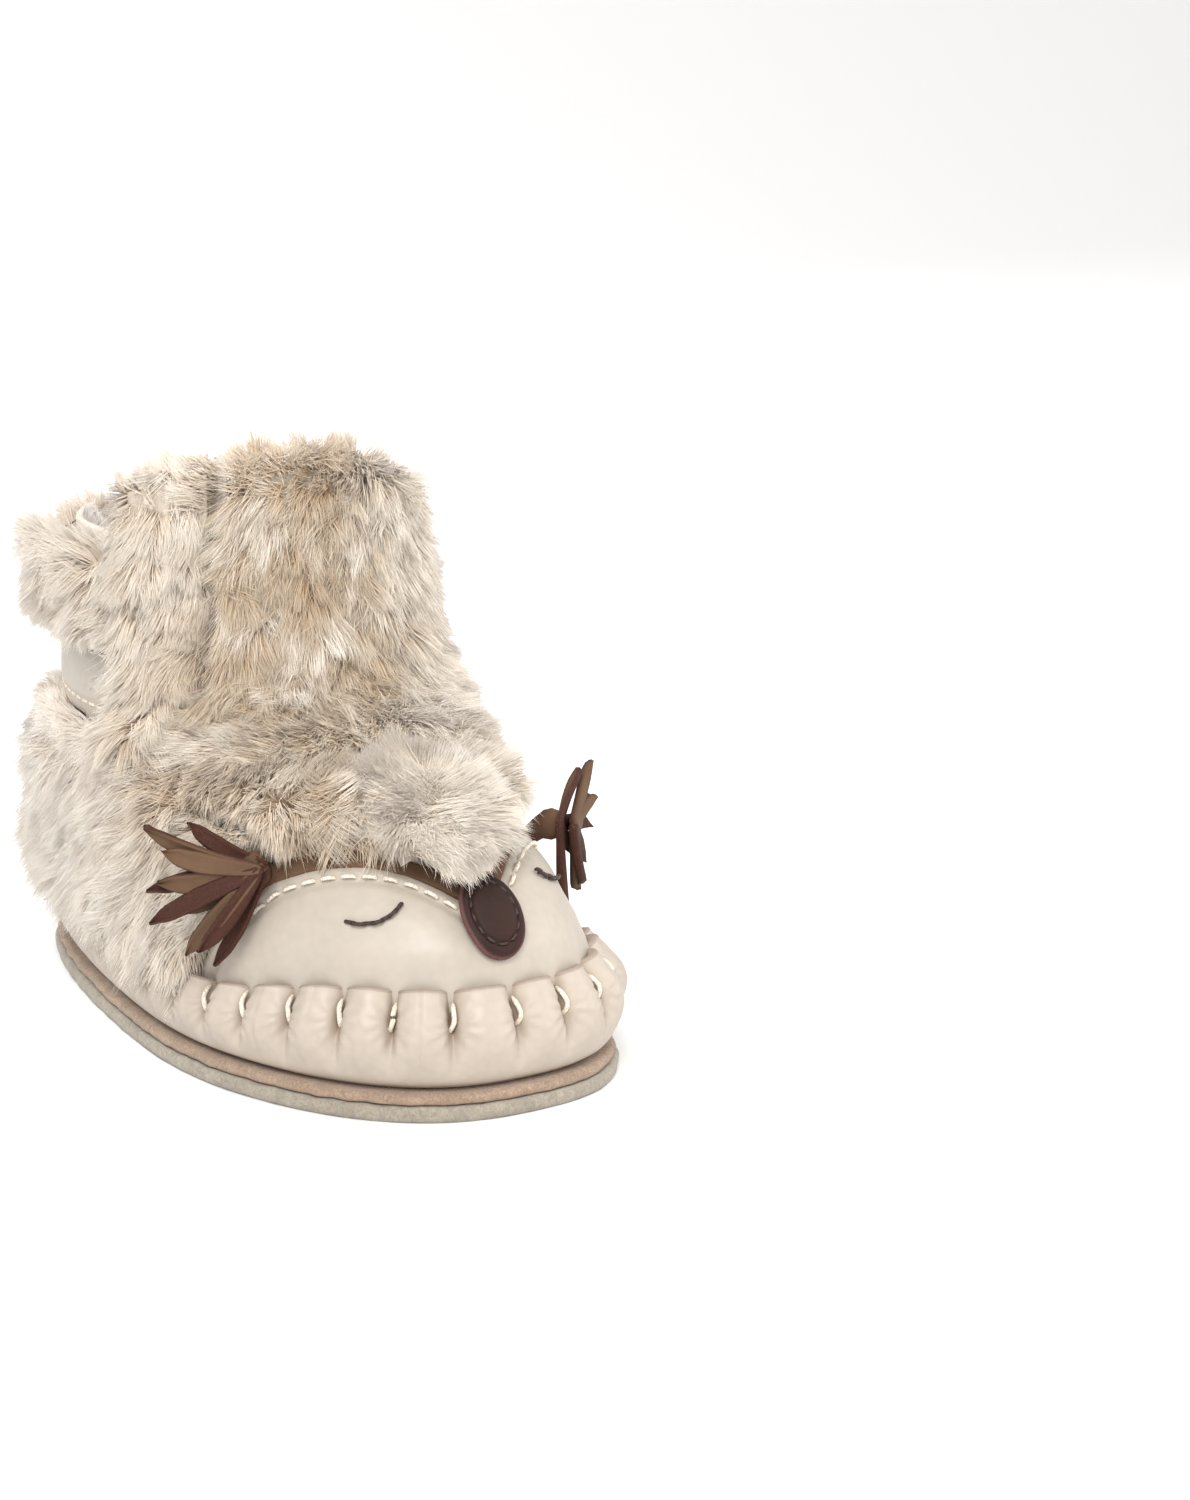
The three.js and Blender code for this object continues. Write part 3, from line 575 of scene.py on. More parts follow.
def hair_group():
    """Pile: darker, warmer roots that turn to pale tips, with a tint for each tuft."""
    group, given, result = new_group(
        "pile_tint",
        [("Root", "NodeSocketColor", (0.4, 0.3, 0.2, 1)), ("Warm root", "NodeSocketColor", (0.3, 0.2, 0.12, 1)),
         ("Tip", "NodeSocketColor", (0.8, 0.7, 0.6, 1)), ("Warm tip", "NodeSocketColor", (0.7, 0.6, 0.5, 1))],
        [("Colour", "NodeSocketColor")],
    )
    value = {k: node(group, "ShaderNodeAttribute", attribute_name=k).outputs["Fac"] for k in ("reach", "tint", "warm")}
    root = blended(group, value["warm"], given.outputs["Root"], given.outputs["Warm root"])
    tip = blended(group, value["warm"], given.outputs["Tip"], given.outputs["Warm tip"])
    lift = math_node(group, "MULTIPLY_ADD", value["tint"], 0.35)
    lift.node.inputs[2].default_value = -0.17
    along = ramp(group, math_node(group, "ADD", value["reach"], lift), 0.3, 1.0)
    group.links.new(blended(group, along, root, tip), result.inputs["Colour"])
    return group


GROUPS = {}
FINISHES = {}


def placed(tree, name, **values):
    if not GROUPS:
        GROUPS.update(leather_grain=grain_group(), suede_nap=nap_group(), pile_tint=hair_group())
    made = tree.nodes.new("ShaderNodeGroup")
    made.node_tree = GROUPS[name]
    for key, value in values.items():
        made.inputs[key.replace("_", " ")].default_value = value
    return made


def rgba(colour, gain=1.0):
    return (*(min(1.0, c * gain) for c in colour), 1.0)


def new_finish(name):
    made = bpy.data.materials.new(name)
    made.use_nodes = True
    made.diffuse_color = (0.8, 0.7, 0.6, 1)
    return made, made.node_tree, made.node_tree.nodes["Principled BSDF"]


def raised(tree, shader, height, distance, strength=1.0):
    bump = node(tree, "ShaderNodeBump", {"Height": height, "Distance": distance, "Strength": strength})
    tree.links.new(bump.outputs[0], shader.inputs["Normal"])


def leather_finish(name, colour, pale, scale=850.0, crease=0.5, rough=(0.42, 0.58), depth=0.00007,
                   cavity=None, flesh=None):
    made, tree, shader = new_finish(name)
    grain = placed(tree, "leather_grain", Scale=scale, Crease=crease)
    base = blended(tree, grain.outputs["Wear"], rgba(colour), rgba(pale))
    pores = math_node(tree, "MULTIPLY", grain.outputs["Shade"], 0.12)
    base = blended(tree, pores, base, rgba(colour, 0.62))
    # painted shade: an attribute mask darkens the leather towards a dark shade colour in the band's creases, around its
    # stitches and at and inside its top edge
    if cavity:
        painted_shade_share = node(tree, "ShaderNodeAttribute", attribute_name="cavity").outputs["Fac"]
        base = blended(tree, painted_shade_share, base, rgba(cavity))
    if flesh:
        back = node(tree, "ShaderNodeAttribute", attribute_name="flesh").outputs["Fac"]
        nap = placed(tree, "suede_nap", Scale=1600.0)
        rough_side = blended(tree, nap.outputs["Fibre"], rgba(flesh), rgba(flesh, 1.9))
        base = blended(tree, back, base, rough_side)
    tree.links.new(base, shader.inputs["Base Color"])
    worn = node(tree, "ShaderNodeMapRange", {0: grain.outputs["Wear"], 3: rough[0], 4: rough[1]}).outputs[0]
    tree.links.new(worn, shader.inputs["Roughness"])
    if colour[0] < 0.3:
        shader.inputs["Specular IOR Level"].default_value = 0.22
    raised(tree, shader, grain.outputs["Height"], depth)
    return made


def suede_finish(name, dark, pale, scale=1000.0, depth=0.00022):
    made, tree, shader = new_finish(name)
    nap = placed(tree, "suede_nap", Scale=scale)
    ground = blended(tree, nap.outputs["Fibre"], rgba(dark), rgba(pale))
    shaded = blended(tree, math_node(tree, "MULTIPLY", nap.outputs["Mottle"], 0.35), ground, rgba(dark, 0.9))
    tree.links.new(shaded, shader.inputs["Base Color"])
    shader.inputs["Roughness"].default_value = 0.95
    shader.inputs["Specular IOR Level"].default_value = 0.2
    shader.inputs["Sheen Weight"].default_value = 0.25
    raised(tree, shader, nap.outputs["Height"], depth)
    return made


def pile_finish(name, root, warm_root, tip, warm_tip):
    made, tree, shader = new_finish(name)
    tint = placed(tree, "pile_tint", Root=rgba(root), Warm_root=rgba(warm_root), Tip=rgba(tip), Warm_tip=rgba(warm_tip))
    tree.links.new(tint.outputs["Colour"], shader.inputs["Base Color"])
    shader.inputs["Roughness"].default_value = 0.6
    shader.inputs["Specular IOR Level"].default_value = 0.3
    shader.inputs["Sheen Weight"].default_value = 0.35
    return made


def thread_finish(name, colour, dark):
    made, tree, shader = new_finish(name)
    where = node(tree, "ShaderNodeTexCoord").outputs["Object"]
    ply = node(tree, "ShaderNodeTexNoise", {"Vector": where, "Scale": 3500.0, "Detail": 2.0}).outputs[0]
    tree.links.new(blended(tree, ramp(tree, ply, 0.35, 0.65), rgba(dark), rgba(colour)), shader.inputs["Base Color"])
    shader.inputs["Roughness"].default_value = 0.6
    raised(tree, shader, ply, 0.00008)
    return made


def finish(name):
    """One finish by name, made the first time that it is asked for."""
    if name in FINISHES:
        return FINISHES[name]
    look = bpy.context.scene.bootie_look
    cream, fur_tip, fur_root = tuple(look.leather), tuple(look.fur_tip), tuple(look.fur_root)
    brown = tuple(look.nubuck)
    shade = lambda c, g: tuple(min(1.0, v * g) for v in c)
    pale_tan = tuple(mix(a, b, 0.5) for a, b in zip(fur_root, fur_tip))
    if name == "face_leather":
        made = leather_finish(name, cream, shade(cream, 1.06))
    elif name == "band_leather":
        pink = (cream[0] * 1.02, cream[1] * 0.99, cream[2] * 0.98)
        # the dark brown given last is a painted shade colour for the band's creases, slits and top edge
        made = leather_finish(name, pink, shade(pink, 1.08), crease=0.9, depth=0.00011, cavity=(0.19, 0.12, 0.075))
    elif name == "nose_leather":
        made = leather_finish(name, (0.02, 0.008, 0.006), (0.036, 0.015, 0.011), 1400.0, rough=(0.55, 0.75),
                              flesh=(0.08, 0.037, 0.032))
    elif name == "nubuck":
        made = leather_finish(name, brown, shade(brown, 1.35), 1800.0, rough=(0.75, 0.9), flesh=(0.038, 0.014, 0.009))
    elif name == "sole_suede":
        made = suede_finish(name, shade(tuple(look.suede), 0.7), shade(tuple(look.suede), 1.25))
    elif name == "edge_suede":
        made = suede_finish(name, (0.25, 0.165, 0.105), (0.5, 0.37, 0.27), 1500.0, 0.00025)
    elif name == "long_pile":
        made = pile_finish(name, pale_tan, fur_root, fur_tip, (fur_tip[0] * 0.72, fur_tip[1] * 0.65, fur_tip[2] * 0.56))
    elif name == "short_pile":
        made = pile_finish(name, (0.62, 0.53, 0.43), (0.55, 0.45, 0.36), (0.9, 0.84, 0.76), (0.86, 0.79, 0.7))
    elif name == "backing_knit":
        made = suede_finish(name, pale_tan, shade(fur_tip, 0.8), 1300.0, 0.0003)
    elif name == "lining_knit":
        made = suede_finish(name, (0.66, 0.58, 0.49), (0.86, 0.79, 0.7), 1300.0, 0.0003)
    elif name == "cream_thread":
        made = thread_finish(name, (0.86, 0.79, 0.68), (0.6, 0.5, 0.38))
    elif name == "dark_thread":
        made = thread_finish(name, (0.045, 0.02, 0.014), (0.018, 0.008, 0.006))
    elif name == "tape_weave":
        made = suede_finish(name, (0.5, 0.45, 0.38), (0.8, 0.75, 0.66), 2400.0, 0.0003)
    else:
        made = suede_finish(name, (0.75, 0.71, 0.62), (0.88, 0.85, 0.76), 1500.0, 0.0002)
    FINISHES[name] = made
    return made


# ---- sole and band ----
def sole_ring(inset, z, count=240):
    angle = even_sole(count)
    x, y = outline(SOLE, -inset, angle)
    return np.stack([x, y, np.full(count, float(z))], -1)


def even_sole(count):
    dense = np.linspace(-math.pi, math.pi, 6001)
    x, y = outline(SOLE, 0, dense)
    run = np.concatenate([[0], np.cumsum(np.hypot(np.diff(x), np.diff(y)))])
    return np.interp(np.arange(count) / count * run[-1], run, dense)


def lathe_plate(rings, cap_start=True, cap_end=True):
    """A closed plate from rings that all have the same count."""
    points = np.concatenate(rings)
    count = len(rings[0])
    faces = grid_faces(len(rings), count, True)
    for wanted, start, flip in ((cap_start, 0, True), (cap_end, (len(rings) - 1) * count, False)):
        if wanted:
            centre = len(points)
            points = np.concatenate([points, points[start : start + count].mean(0)[None]])
            ends = [(start + j, start + (j + 1) % count, centre) for j in range(count)]
            faces += [e[::-1] for e in ends] if flip else ends
    return points, faces


def build_sole(settings):
    rng = np.random.default_rng(11)
    inset_row = settings.sole_stitch_inset
    ragged = 0.16 * waves(sole_ring(0, 0), rng, 7.0) + rng.normal(0, 0.06, 240)
    plan = [(22, 0), (inset_row + 1.1, 0), (inset_row + 0.75, 0), (inset_row + 0.55, 0.7), (inset_row - 0.55, 0.7),
            (inset_row - 0.75, 0), (inset_row - 1.1, 0), (1.2, 0), (0.5, 0.02), (0.12, 0.35), (0, 0.9), (0, 1.5),
            (0.15, 1.95), (0.6, 2.2), (3, 2.2), (12, 2.2), (22, 2.2)]
    rings = []
    for inset, z in plan:
        wobble = ragged * (1 if inset < 1 and z > 0.1 else 0)
        ring = sole_ring(inset, z)
        outward = unit(sole_ring(0, 0) - sole_ring(3, 0))
        lifted = np.array([0, 0, 1]) * (wobble * 0.5 * (0.3 < z < 2.3))[:, None]
        rings.append(ring + outward * (wobble * 0.6)[:, None] + lifted)
    fit(new_piece("sole_suede", *lathe_plate(rings), finish("sole_suede")), "bootie", "suede", "outsole")

    frayed = 0.3 * waves(sole_ring(0, 0), rng, 5.0) + rng.normal(0, 0.1, 240)
    rings = []
    plan = ((22, 2.35), (3, 2.35), (0.9, 2.38), (0.5, 2.65), (0.45, 3.1), (0.6, 3.6), (1.1, 3.85), (4, 3.9),
            (22, 3.9))
    for inset, z in plan:
        outward = unit(sole_ring(0, 0) - sole_ring(3, 0))
        wobble = frayed * (1 if 0.4 < inset < 1 else 0)
        rings.append(sole_ring(inset, z) + outward * (0.5 * wobble)[:, None])
    fit(new_piece("sole_edge_layer", *lathe_plate(rings), finish("edge_suede")), "bootie", "tan_suede", "welt_layer")

    path = np.concatenate([sole_ring(inset_row, 0.55, 400), sole_ring(inset_row, 0.55, 400)[:1]])
    under = np.tile([0.0, 0.0, -1.0], (len(path), 1))
    points, faces = stitches(path, under, 3.0, 0.9, 0.32, dip=0.1)
    fit(new_piece("sole_stitches", points, faces, finish("cream_thread")), "bootie", "cream_thread", "outsole_thread")


def pleat_places(rng):
    """Where each pleat is stitched, as a share of the way round, and how deep it is."""
    places = (np.arange(PLEATS) + rng.uniform(-0.07, 0.07, PLEATS)) / PLEATS
    return places, rng.uniform(0.8, 1.15, PLEATS), rng.uniform(0, 6.3, PLEATS)


def build_band(settings):
    rng = np.random.default_rng(5)
    places, depths, phases = pleat_places(rng)
    count = PLEATS * 24
    share = np.arange(count) / count
    angle = even_sole(count)
    gap = (share[:, None] - places[None] + 0.5) % 1 - 0.5
    owner = np.abs(gap).argmin(1)
    dx = gap[np.arange(count), owner] * BAND_LENGTH
    deep, phase = depths[owner], phases[owner]
    half = np.clip(np.abs(dx) / (BAND_LENGTH / PLEATS / 2), 0, 1)
    lobe = np.sin(half * math.pi / 2) ** 0.62
    toe = ease(-outline(SOLE, 0, angle)[1], 22, 52)
    top_line = BAND_TOP + settings.toe_rise * toe
    stitch_z = mix(BAND_BASE, top_line, 0.68)
    lean_tree = skin_tree(LEATHER + settings.band_wall + 0.5)
    levels = (0.0, 0.03, 0.07, 0.12, 0.18, 0.24, 0.3, 0.35, 0.4, 0.44, 0.48, 0.52, 0.56, 0.6, 0.63, 0.66, 0.69,
              0.72, 0.75, 0.78, 0.81, 0.84, 0.87, 0.9, 0.93, 0.96, 0.985, 1.0)
    wall = settings.band_wall
    rings, cavity = [], []
    base = np.stack([*outline(SOLE, -1.8, angle), np.zeros(count)], -1)
    tangent = unit(np.roll(base, -1, 0) - np.roll(base, 1, 0))
    outward = np.stack([tangent[:, 1], -tangent[:, 0], np.zeros(count)], -1)

    def shape(t):
        """How far the outer face stands out at a level, and its height."""
        belly = 1.5 * np.sin(math.pi * min(t / 0.86, 1.0)) ** 0.8 if t < 0.86 else 0.0
        belly = belly * (1 + 0.5 * toe) - 0.9 * ease(t, 0.86, 1.0) - 1.0 * (1 - ease(t, 0.0, 0.1))
        sink = ease(t, 0.1, 0.7)
        out = belly + settings.pleat_depth * deep * (lobe - 0.55) * sink
        z = mix(BAND_BASE, top_line, t) + (1.3 * (lobe - 0.75) * ease(t, 0.6, 1.0) * deep)
        dz = z - stitch_z
        ray = np.hypot(dx, dz)
        spoke = np.sin(11 * np.arctan2(dz, np.abs(dx) + 0.2) + phase) * hump(ray - 2.2, 1.5) * 0.26
        pull = -0.75 * np.exp(-((dx / 0.75) ** 2) - (dz / 2.6) ** 2) - 0.35 * np.exp(-((dx / 0.5) ** 2)) * sink
        long_fold = 0.09 * np.sin(dx * 2.3 + phase) * hump(t - 0.42, 0.18)
        return out + spoke + pull + long_fold, z

    rings.append(np.stack([*outline(SOLE, -24, angle), np.full(count, BAND_BASE)], -1))
    cavity.append(np.zeros(count))
    rings.append(np.stack([*outline(SOLE, -4.5, angle), np.full(count, BAND_BASE - 0.1)], -1))
    cavity.append(np.zeros(count))

    def leant(p, share):
        """Draws a ring in against the face, where the band leans over it."""
        for i in np.flatnonzero(share > 0.01):
            hit = lean_tree.ray_cast(Vector(p[i] + outward[i] * 12), Vector(-outward[i]), 40)[0]
            if hit is not None:
                p[i] = mix(p[i], np.array(hit), share[i])
        return p

    for t in levels:
        out, z = shape(t)
        p = base.copy()
        p[:, 2] = z
        p = leant(p, toe * float(ease(t, 0.45, 1.0))) + outward * out[:, None]
        rings.append(p)
        # painted shade: darkest in each pleat's slit round its stitch, lighter down the middle of the crease, and more
        # at the top rim
        dark = np.exp(-((dx / 0.45) ** 2) - ((z - stitch_z) / 2.1) ** 2)
        dark = dark + 0.34 * np.exp(-((dx / 0.9) ** 2)) * float(ease(t, 0.3, 0.7))
        cavity.append(np.clip(dark + 0.5 * float(ease(t, 0.985, 1.0)), 0, 1))
    top_out, top_z = shape(1.0)
    inside = ((0.25, -0.18), (wall * 0.55, -0.1), (wall * 0.9, 0.3), (wall, 1.2), (wall, 5.0), (wall, BAND_TOP - 6.2))
    for inset, lower in inside:
        p = base.copy()
        p[:, 2] = top_z
        p = leant(p, toe) + outward * (top_out - inset)[:, None]
        p[:, 2] = top_z - lower
        if lower > 3:
            p = base - outward * wall
            p[:, 2] = BAND_TOP - lower
        rings.append(p)
        # painted shade inside the top edge, stronger just under the rim and lighter further down the inner wall
        cavity.append(np.full(count, 0.45 if lower < 0.2 else 0.1))
    for inset, z in ((4.5, 5.5), (24, 5.4)):
        rings.append(np.stack([*outline(SOLE, -inset, angle), np.full(count, z)], -1))
        cavity.append(np.zeros(count))
    points, faces = lathe_plate(rings)
    piece = new_piece("pleated_band", points, faces, finish("band_leather"), merge=False, turn=False)
    set_value(piece, "cavity", np.concatenate([np.concatenate(cavity), [0, 0]]))
    fit(piece, "bootie", "cream_leather", "moccasin_band")

    parts = []
    for k in range(PLEATS):
        j = int(round(places[k] * count)) % count
        lean = rng.uniform(-0.5, 0.5)
        t = np.linspace(-1, 1, 11)
        reach = 0.55 - 1.9 * np.abs(t) ** 2.4
        seat = base[j].copy()
        seat[2] = stitch_z[j]
        hit = lean_tree.ray_cast(Vector(seat + outward[j] * 12), Vector(-outward[j]), 40)[0]
        if hit is not None:
            seat = mix(seat, np.array(hit), toe[j] * 0.36)
        p = seat + outward[j] * (0.35 + reach)[:, None] + tangent[j] * (lean * t + 0.35 * hump(t, 0.6))[:, None]
        p[:, 2] = stitch_z[j] + 0.5 + t * 2.1
        parts.append(tube(p, 0.36))
    fit(new_piece("pleat_stitches", *joined(parts), finish("cream_thread")), "bootie", "cream_thread", "pucker_thread")


def build_insole(settings):
    def plate(z0, z1):
        edge = UPPER_INSET + GAP
        h = z1 - z0
        plan = [(20, z0), (edge + 0.5, z0), (edge + 0.1, z0 + 0.2 * h), (edge, z0 + 0.5 * h),
                (edge + 0.15, z1 - 0.2 * h), (edge + 0.7, z1), (edge + 4, z1), (20, z1)]
        return lathe_plate([sole_ring(i, z) for i, z in plan])

    foam = new_piece("foam_insole", *plate(5.75, 8.3), finish("insole_foam_skin"))
    fit(foam, "bootie", "foam", "insole_foam")
    sock = new_piece("sock_backing", *plate(8.65, 9.7), finish("lining_knit"))
    fit(sock, "bootie", "plush")
    rng = np.random.default_rng(31)
    x, y = rng.uniform(-30, 30, 60000), rng.uniform(-58, 58, 60000)
    angle = np.arctan2(y, x)
    px, py = outline(SOLE, -(UPPER_INSET + GAP + 0.8), even_sole(720))
    order = np.argsort(np.arctan2(py, px))
    limit = np.interp(angle, np.arctan2(py, px)[order], np.hypot(px, py)[order])
    keep = np.flatnonzero(np.hypot(x, y) < limit)[: settings.lining_hairs]
    roots = np.stack([x[keep], y[keep], np.full(len(keep), 9.6)], -1)
    up = np.tile([0.0, 0, 1], (len(roots), 1))
    flow = np.tile([0.0, -1, 0], (len(roots), 1))
    made = pile("sock_pile", rng, roots, up, flow, finish("short_pile"), length=2.2, width=0.26, clump=2.0,
                gather=0.3, swirl=1.1)
    fit(made, "bootie", "plush", "insole_sock")


# ---- face ----
def face_columns(offset, z_low, columns, rows):
    """A grid over the face panel: columns around the toe, rows from inside the band up to the heart-shaped edge."""
    def edge_gap(angle, z):
        p = upper(angle, z, offset)
        return p[..., 1] - heart(down_angle(p))

    dense = np.linspace(-math.pi, 0, 4001)
    front = np.flatnonzero(edge_gap(dense, z_low) < 0)
    angles = even_angles(z_low, offset, dense[front[0]], dense[front[-1]], columns)
    levels = np.linspace(z_low, 42, 900)
    grid = np.empty((rows, columns, 3))
    room = np.empty((rows, columns))
    for j, angle in enumerate(angles):
        column = upper(angle, levels, offset)
        gap = column[:, 1] - heart(down_angle(column))
        past = np.flatnonzero(gap >= 0)
        end = past[0] if len(past) else len(levels) - 1
        end = max(end, 1)
        column = column[: end + 1]
        run = run_of(column)
        want = run[-1] * np.linspace(0, 1, rows) ** 0.92
        for k in range(3):
            grid[:, j, k] = np.interp(want, run, column[:, k])
        room[:, j] = run[-1] - want
    z = grid[..., 2]
    normals = upper_normal(angles[None, :] + 0 * z, z, offset)
    return grid, normals, room


def edge_distance(points, line):
    """Distance of each point from the nearest of a line's points."""
    flat = points.reshape(-1, 3)
    best = np.full(len(flat), 1e9)
    for i in range(0, len(flat), 2000):
        best[i : i + 2000] = np.sqrt(((flat[i : i + 2000, None] - line[None]) ** 2).sum(2)).min(1)
    return best.reshape(points.shape[:2])


def heart_line(setback, offset, start, end, count):
    """Points and normals along the face panel's edge, at degrees down from the top of the foot."""
    degrees = np.linspace(start, end, count)
    points = np.array([on_upper(float(heart(d, setback)), d, offset) for d in degrees])
    return points, cast_normals(points, offset)


def cast_normals(points, offset):
    tree = skin_tree(offset)
    return unit(np.array([tree.find_nearest(Vector(p))[1] for p in points], float))


def build_face(settings):
    seat = LEATHER / 2 + 0.05
    grid, normals, room = face_columns(seat, 10.6, 260, 70)
    seam = heart_line(-settings.face_stitch_inset, seat, -90, 90, 240)[0]
    rim = heart_line(0.0, seat, -100, 100, 240)[0]
    off_seam, off_rim = edge_distance(grid, seam), edge_distance(grid, rim)
    rng = np.random.default_rng(3)
    soft = 0.12 * waves(grid.reshape(-1, 3), rng, 14.0).reshape(room.shape)
    tucks = 0.22 * np.sin(np.linspace(0, 2 * math.pi * 15, grid.shape[1]))[None, :] * hump(grid[..., 2] - 13.0, 2.6)
    lift = 0.35 * ease(off_seam, 0.2, 5) - 0.42 * hump(off_seam, 0.75) - 0.35 * hump(off_rim, 0.5)
    lift = lift + soft * ease(off_rim, 2, 8) + tucks
    points, faces, _ = slab(grid + normals * lift[..., None], normals, LEATHER)
    fit(new_piece("face_leather", points, faces, finish("face_leather")), "bootie", "cream_leather", "face_panel")

    line, out = heart_line(-settings.face_stitch_inset, LEATHER + 0.05, -86, 86, 400)
    away = np.abs(line[:, 0]) > 3.4
    for side, label in SIDES:
        keep = away & (np.sign(line[:, 0]) == side)
        points, faces = stitches(line[keep] - 0.28 * out[keep], out[keep], 2.15, 0.75, 0.3)
        name = "face_stitches_" + label
        fit(new_piece(name, points, faces, finish("cream_thread")), "bootie", "cream_thread", "face_thread_" + label)

    for side, label in SIDES:
        degrees = np.linspace(0.6, 60, 80) * side
        seat = LEATHER / 2 + 0.1
        setbacks = [mix(0.35, STRIP_WIDTH, share) for share in np.linspace(0, 1, 9)]
        rows = np.array([[on_upper(float(heart(d, back)), float(d), seat) for d in degrees] for back in setbacks])
        out = cast_normals(rows.reshape(-1, 3), seat).reshape(rows.shape)
        flutter = 0.18 * waves(rows.reshape(-1, 3), rng, 7.0).reshape(rows.shape[:2])
        points, faces, _ = slab(rows + out * flutter[..., None], out, LEATHER)
        strip = new_piece("brow_nubuck_" + label, points, faces, finish("nubuck"))
        fit(strip, "bootie", "brown_nubuck", "brow_strip_" + label)


NOSE_SETBACK, NOSE_TILT, NOSE_HALF, NOSE_TALL = 3.6, math.radians(46), 4.5, 6.0
NOSE_POINTS, NOSE_SEAM = 72, 0.735


def bezier(a, b, c, d, count):
    t = np.linspace(0, 1, count, endpoint=False)[:, None]
    a, b, c, d = (np.array(v, float) for v in (a, b, c, d))
    return a * (1 - t) ** 3 + 3 * b * t * (1 - t) ** 2 + 3 * c * t**2 * (1 - t) + d * t**3


def nose_outline(count):
    w, h = NOSE_HALF, NOSE_TALL
    loop = np.concatenate([
        bezier((0, h), (-w * 0.9, h * 0.95), (-w * 1.15, -h * 0.1), (-w * 0.75, -h * 0.65), 60),
        bezier((-w * 0.75, -h * 0.65), (-w * 0.4, -h * 1.1), (w * 0.4, -h * 1.1), (w * 0.75, -h * 0.65), 60),
        bezier((w * 0.75, -h * 0.65), (w * 1.15, -h * 0.1), (w * 0.9, h * 0.95), (0, h), 60),
    ])
    closed = np.concatenate([loop, loop[:1]])
    closed = np.column_stack([closed, np.zeros(len(closed))])
    return resampled(closed, count + 1)[:-1, :2]


def nose_point(flat, offset):
    """A point of a shape drawn flat, laid on the toe where the nose sits."""
    seat = on_upper(TOE + NOSE_SETBACK, 0, 0)
    facing = np.array([0, -math.sin(NOSE_TILT), math.cos(NOSE_TILT)])
    rise = np.array([0, math.cos(NOSE_TILT), math.sin(NOSE_TILT)])
    start = seat + np.array([1.0, 0, 0]) * flat[0] + rise * flat[1] + facing * 60
    return cast(start, -facing, offset)


def build_nose(settings):
    loop = nose_outline(NOSE_POINTS)
    shares = np.array([0.06, 0.25, 0.42, 0.56, 0.64, 0.7, 0.735, 0.77, 0.82, 0.88, 0.94, 0.98, 1.0])
    base = LEATHER + 0.35
    inner = np.array([[nose_point(p * s, base) for p in loop] for s in shares])
    out = cast_normals(inner.reshape(-1, 3), base).reshape(inner.shape)
    dome = 0.75 * (1 - shares**2) - 0.5 * hump(shares - 0.74, 0.045) - 0.22 * hump(shares - 1.0, 0.05)
    top = inner + out * (LEATHER + dome)[:, None, None]
    side_out = inner[-1:] + out[-1:] * (LEATHER * 0.5) + unit(inner[-1:] - inner[-2:-1]) * 0.25
    rings = [*top, side_out[0], *inner[::-1]]
    points, faces = lathe_plate(rings)
    upper_side = np.repeat(ease(shares, 0.93, 1.0), NOSE_POINTS)
    flesh = np.concatenate([upper_side, np.ones(NOSE_POINTS * (1 + len(shares))), [0, 1]])
    piece = new_piece("nose_leather_patch", points, faces, finish("nose_leather"), merge=False, turn=False)
    set_value(piece, "flesh", flesh)
    fit(piece, "bootie", "nose_leather", "nose_patch")
    row = np.concatenate([loop * NOSE_SEAM, loop[:1] * NOSE_SEAM])
    path = np.array([nose_point(p, base) for p in row])
    out = cast_normals(path, base)
    path = path + out * (LEATHER + 0.75 * (1 - NOSE_SEAM**2) - 0.42)
    points, faces = stitches(path, out, 1.35, 0.45, 0.24, dip=0.35)
    fit(new_piece("nose_stitches", points, faces, finish("dark_thread")), "bootie", "dark_thread", "nose_thread")


def build_eyes(settings):
    for side, label in SIDES:
        points, out = [], []
        for t in np.linspace(-1, 1, 40):
            x = side * 14.0 + t * settings.eye_span / 2
            sag = 1.5 * (1 - t * t) - side * t * 2.2
            points.append(cast((x, TOE + 9.6 - sag, 120.0), (0, 0, -1), LEATHER + 0.4))
        points = np.array(points)
        out = cast_normals(points, LEATHER + 0.4)
        parts = []
        for k in range(7):
            part = slice(max(0, k * 40 // 7 - 2), min(40, (k + 1) * 40 // 7 + 2))
            wander = 0.12 * (-1) ** k
            p = resampled(points[part], 8) + np.array([wander, wander, 0])
            n = resampled(out[part], 8)
            parts.append(tube(p + n * (0.12 - 0.4 * np.abs(np.linspace(-1, 1, 8)) ** 4)[:, None], 0.3))
        piece = new_piece("sleeping_eye_" + label, *joined(parts), finish("dark_thread"))
        fit(piece, "bootie", "dark_thread", "eye_" + label)


EAR_ANGLE, EAR_SETBACK, EAR_TURN = 52.0, 3.8, math.radians(40)
EAR_OUT = {-1: 6.3, 1: 7.3}
STRAND_KNOTS, STRAND_COLUMNS = 18, 7
# degrees above level, length, width, roll about the strand, curl along it, which side shows
EAR_STRANDS = (
    (6, 12.5, 3.4, 50, 24, 1), (-2, 17.5, 3.8, -18, 26, 0), (-10, 14, 4.6, 12, 10, 0), (-19, 18, 4.0, 38, -12, 1),
    (-27, 15.5, 4.8, -12, 14, 0), (-36, 18.5, 4.2, 30, -12, 1), (-44, 15, 4.8, -16, 12, 0),
    (-54, 17, 4.4, 10, -10, 0), (-64, 15, 3.8, -34, 14, 1), (-78, 17, 3.4, 24, 10, 1),
)


def ear_seat(side):
    return on_upper(float(heart(EAR_ANGLE, EAR_SETBACK)), side * EAR_ANGLE, 0)


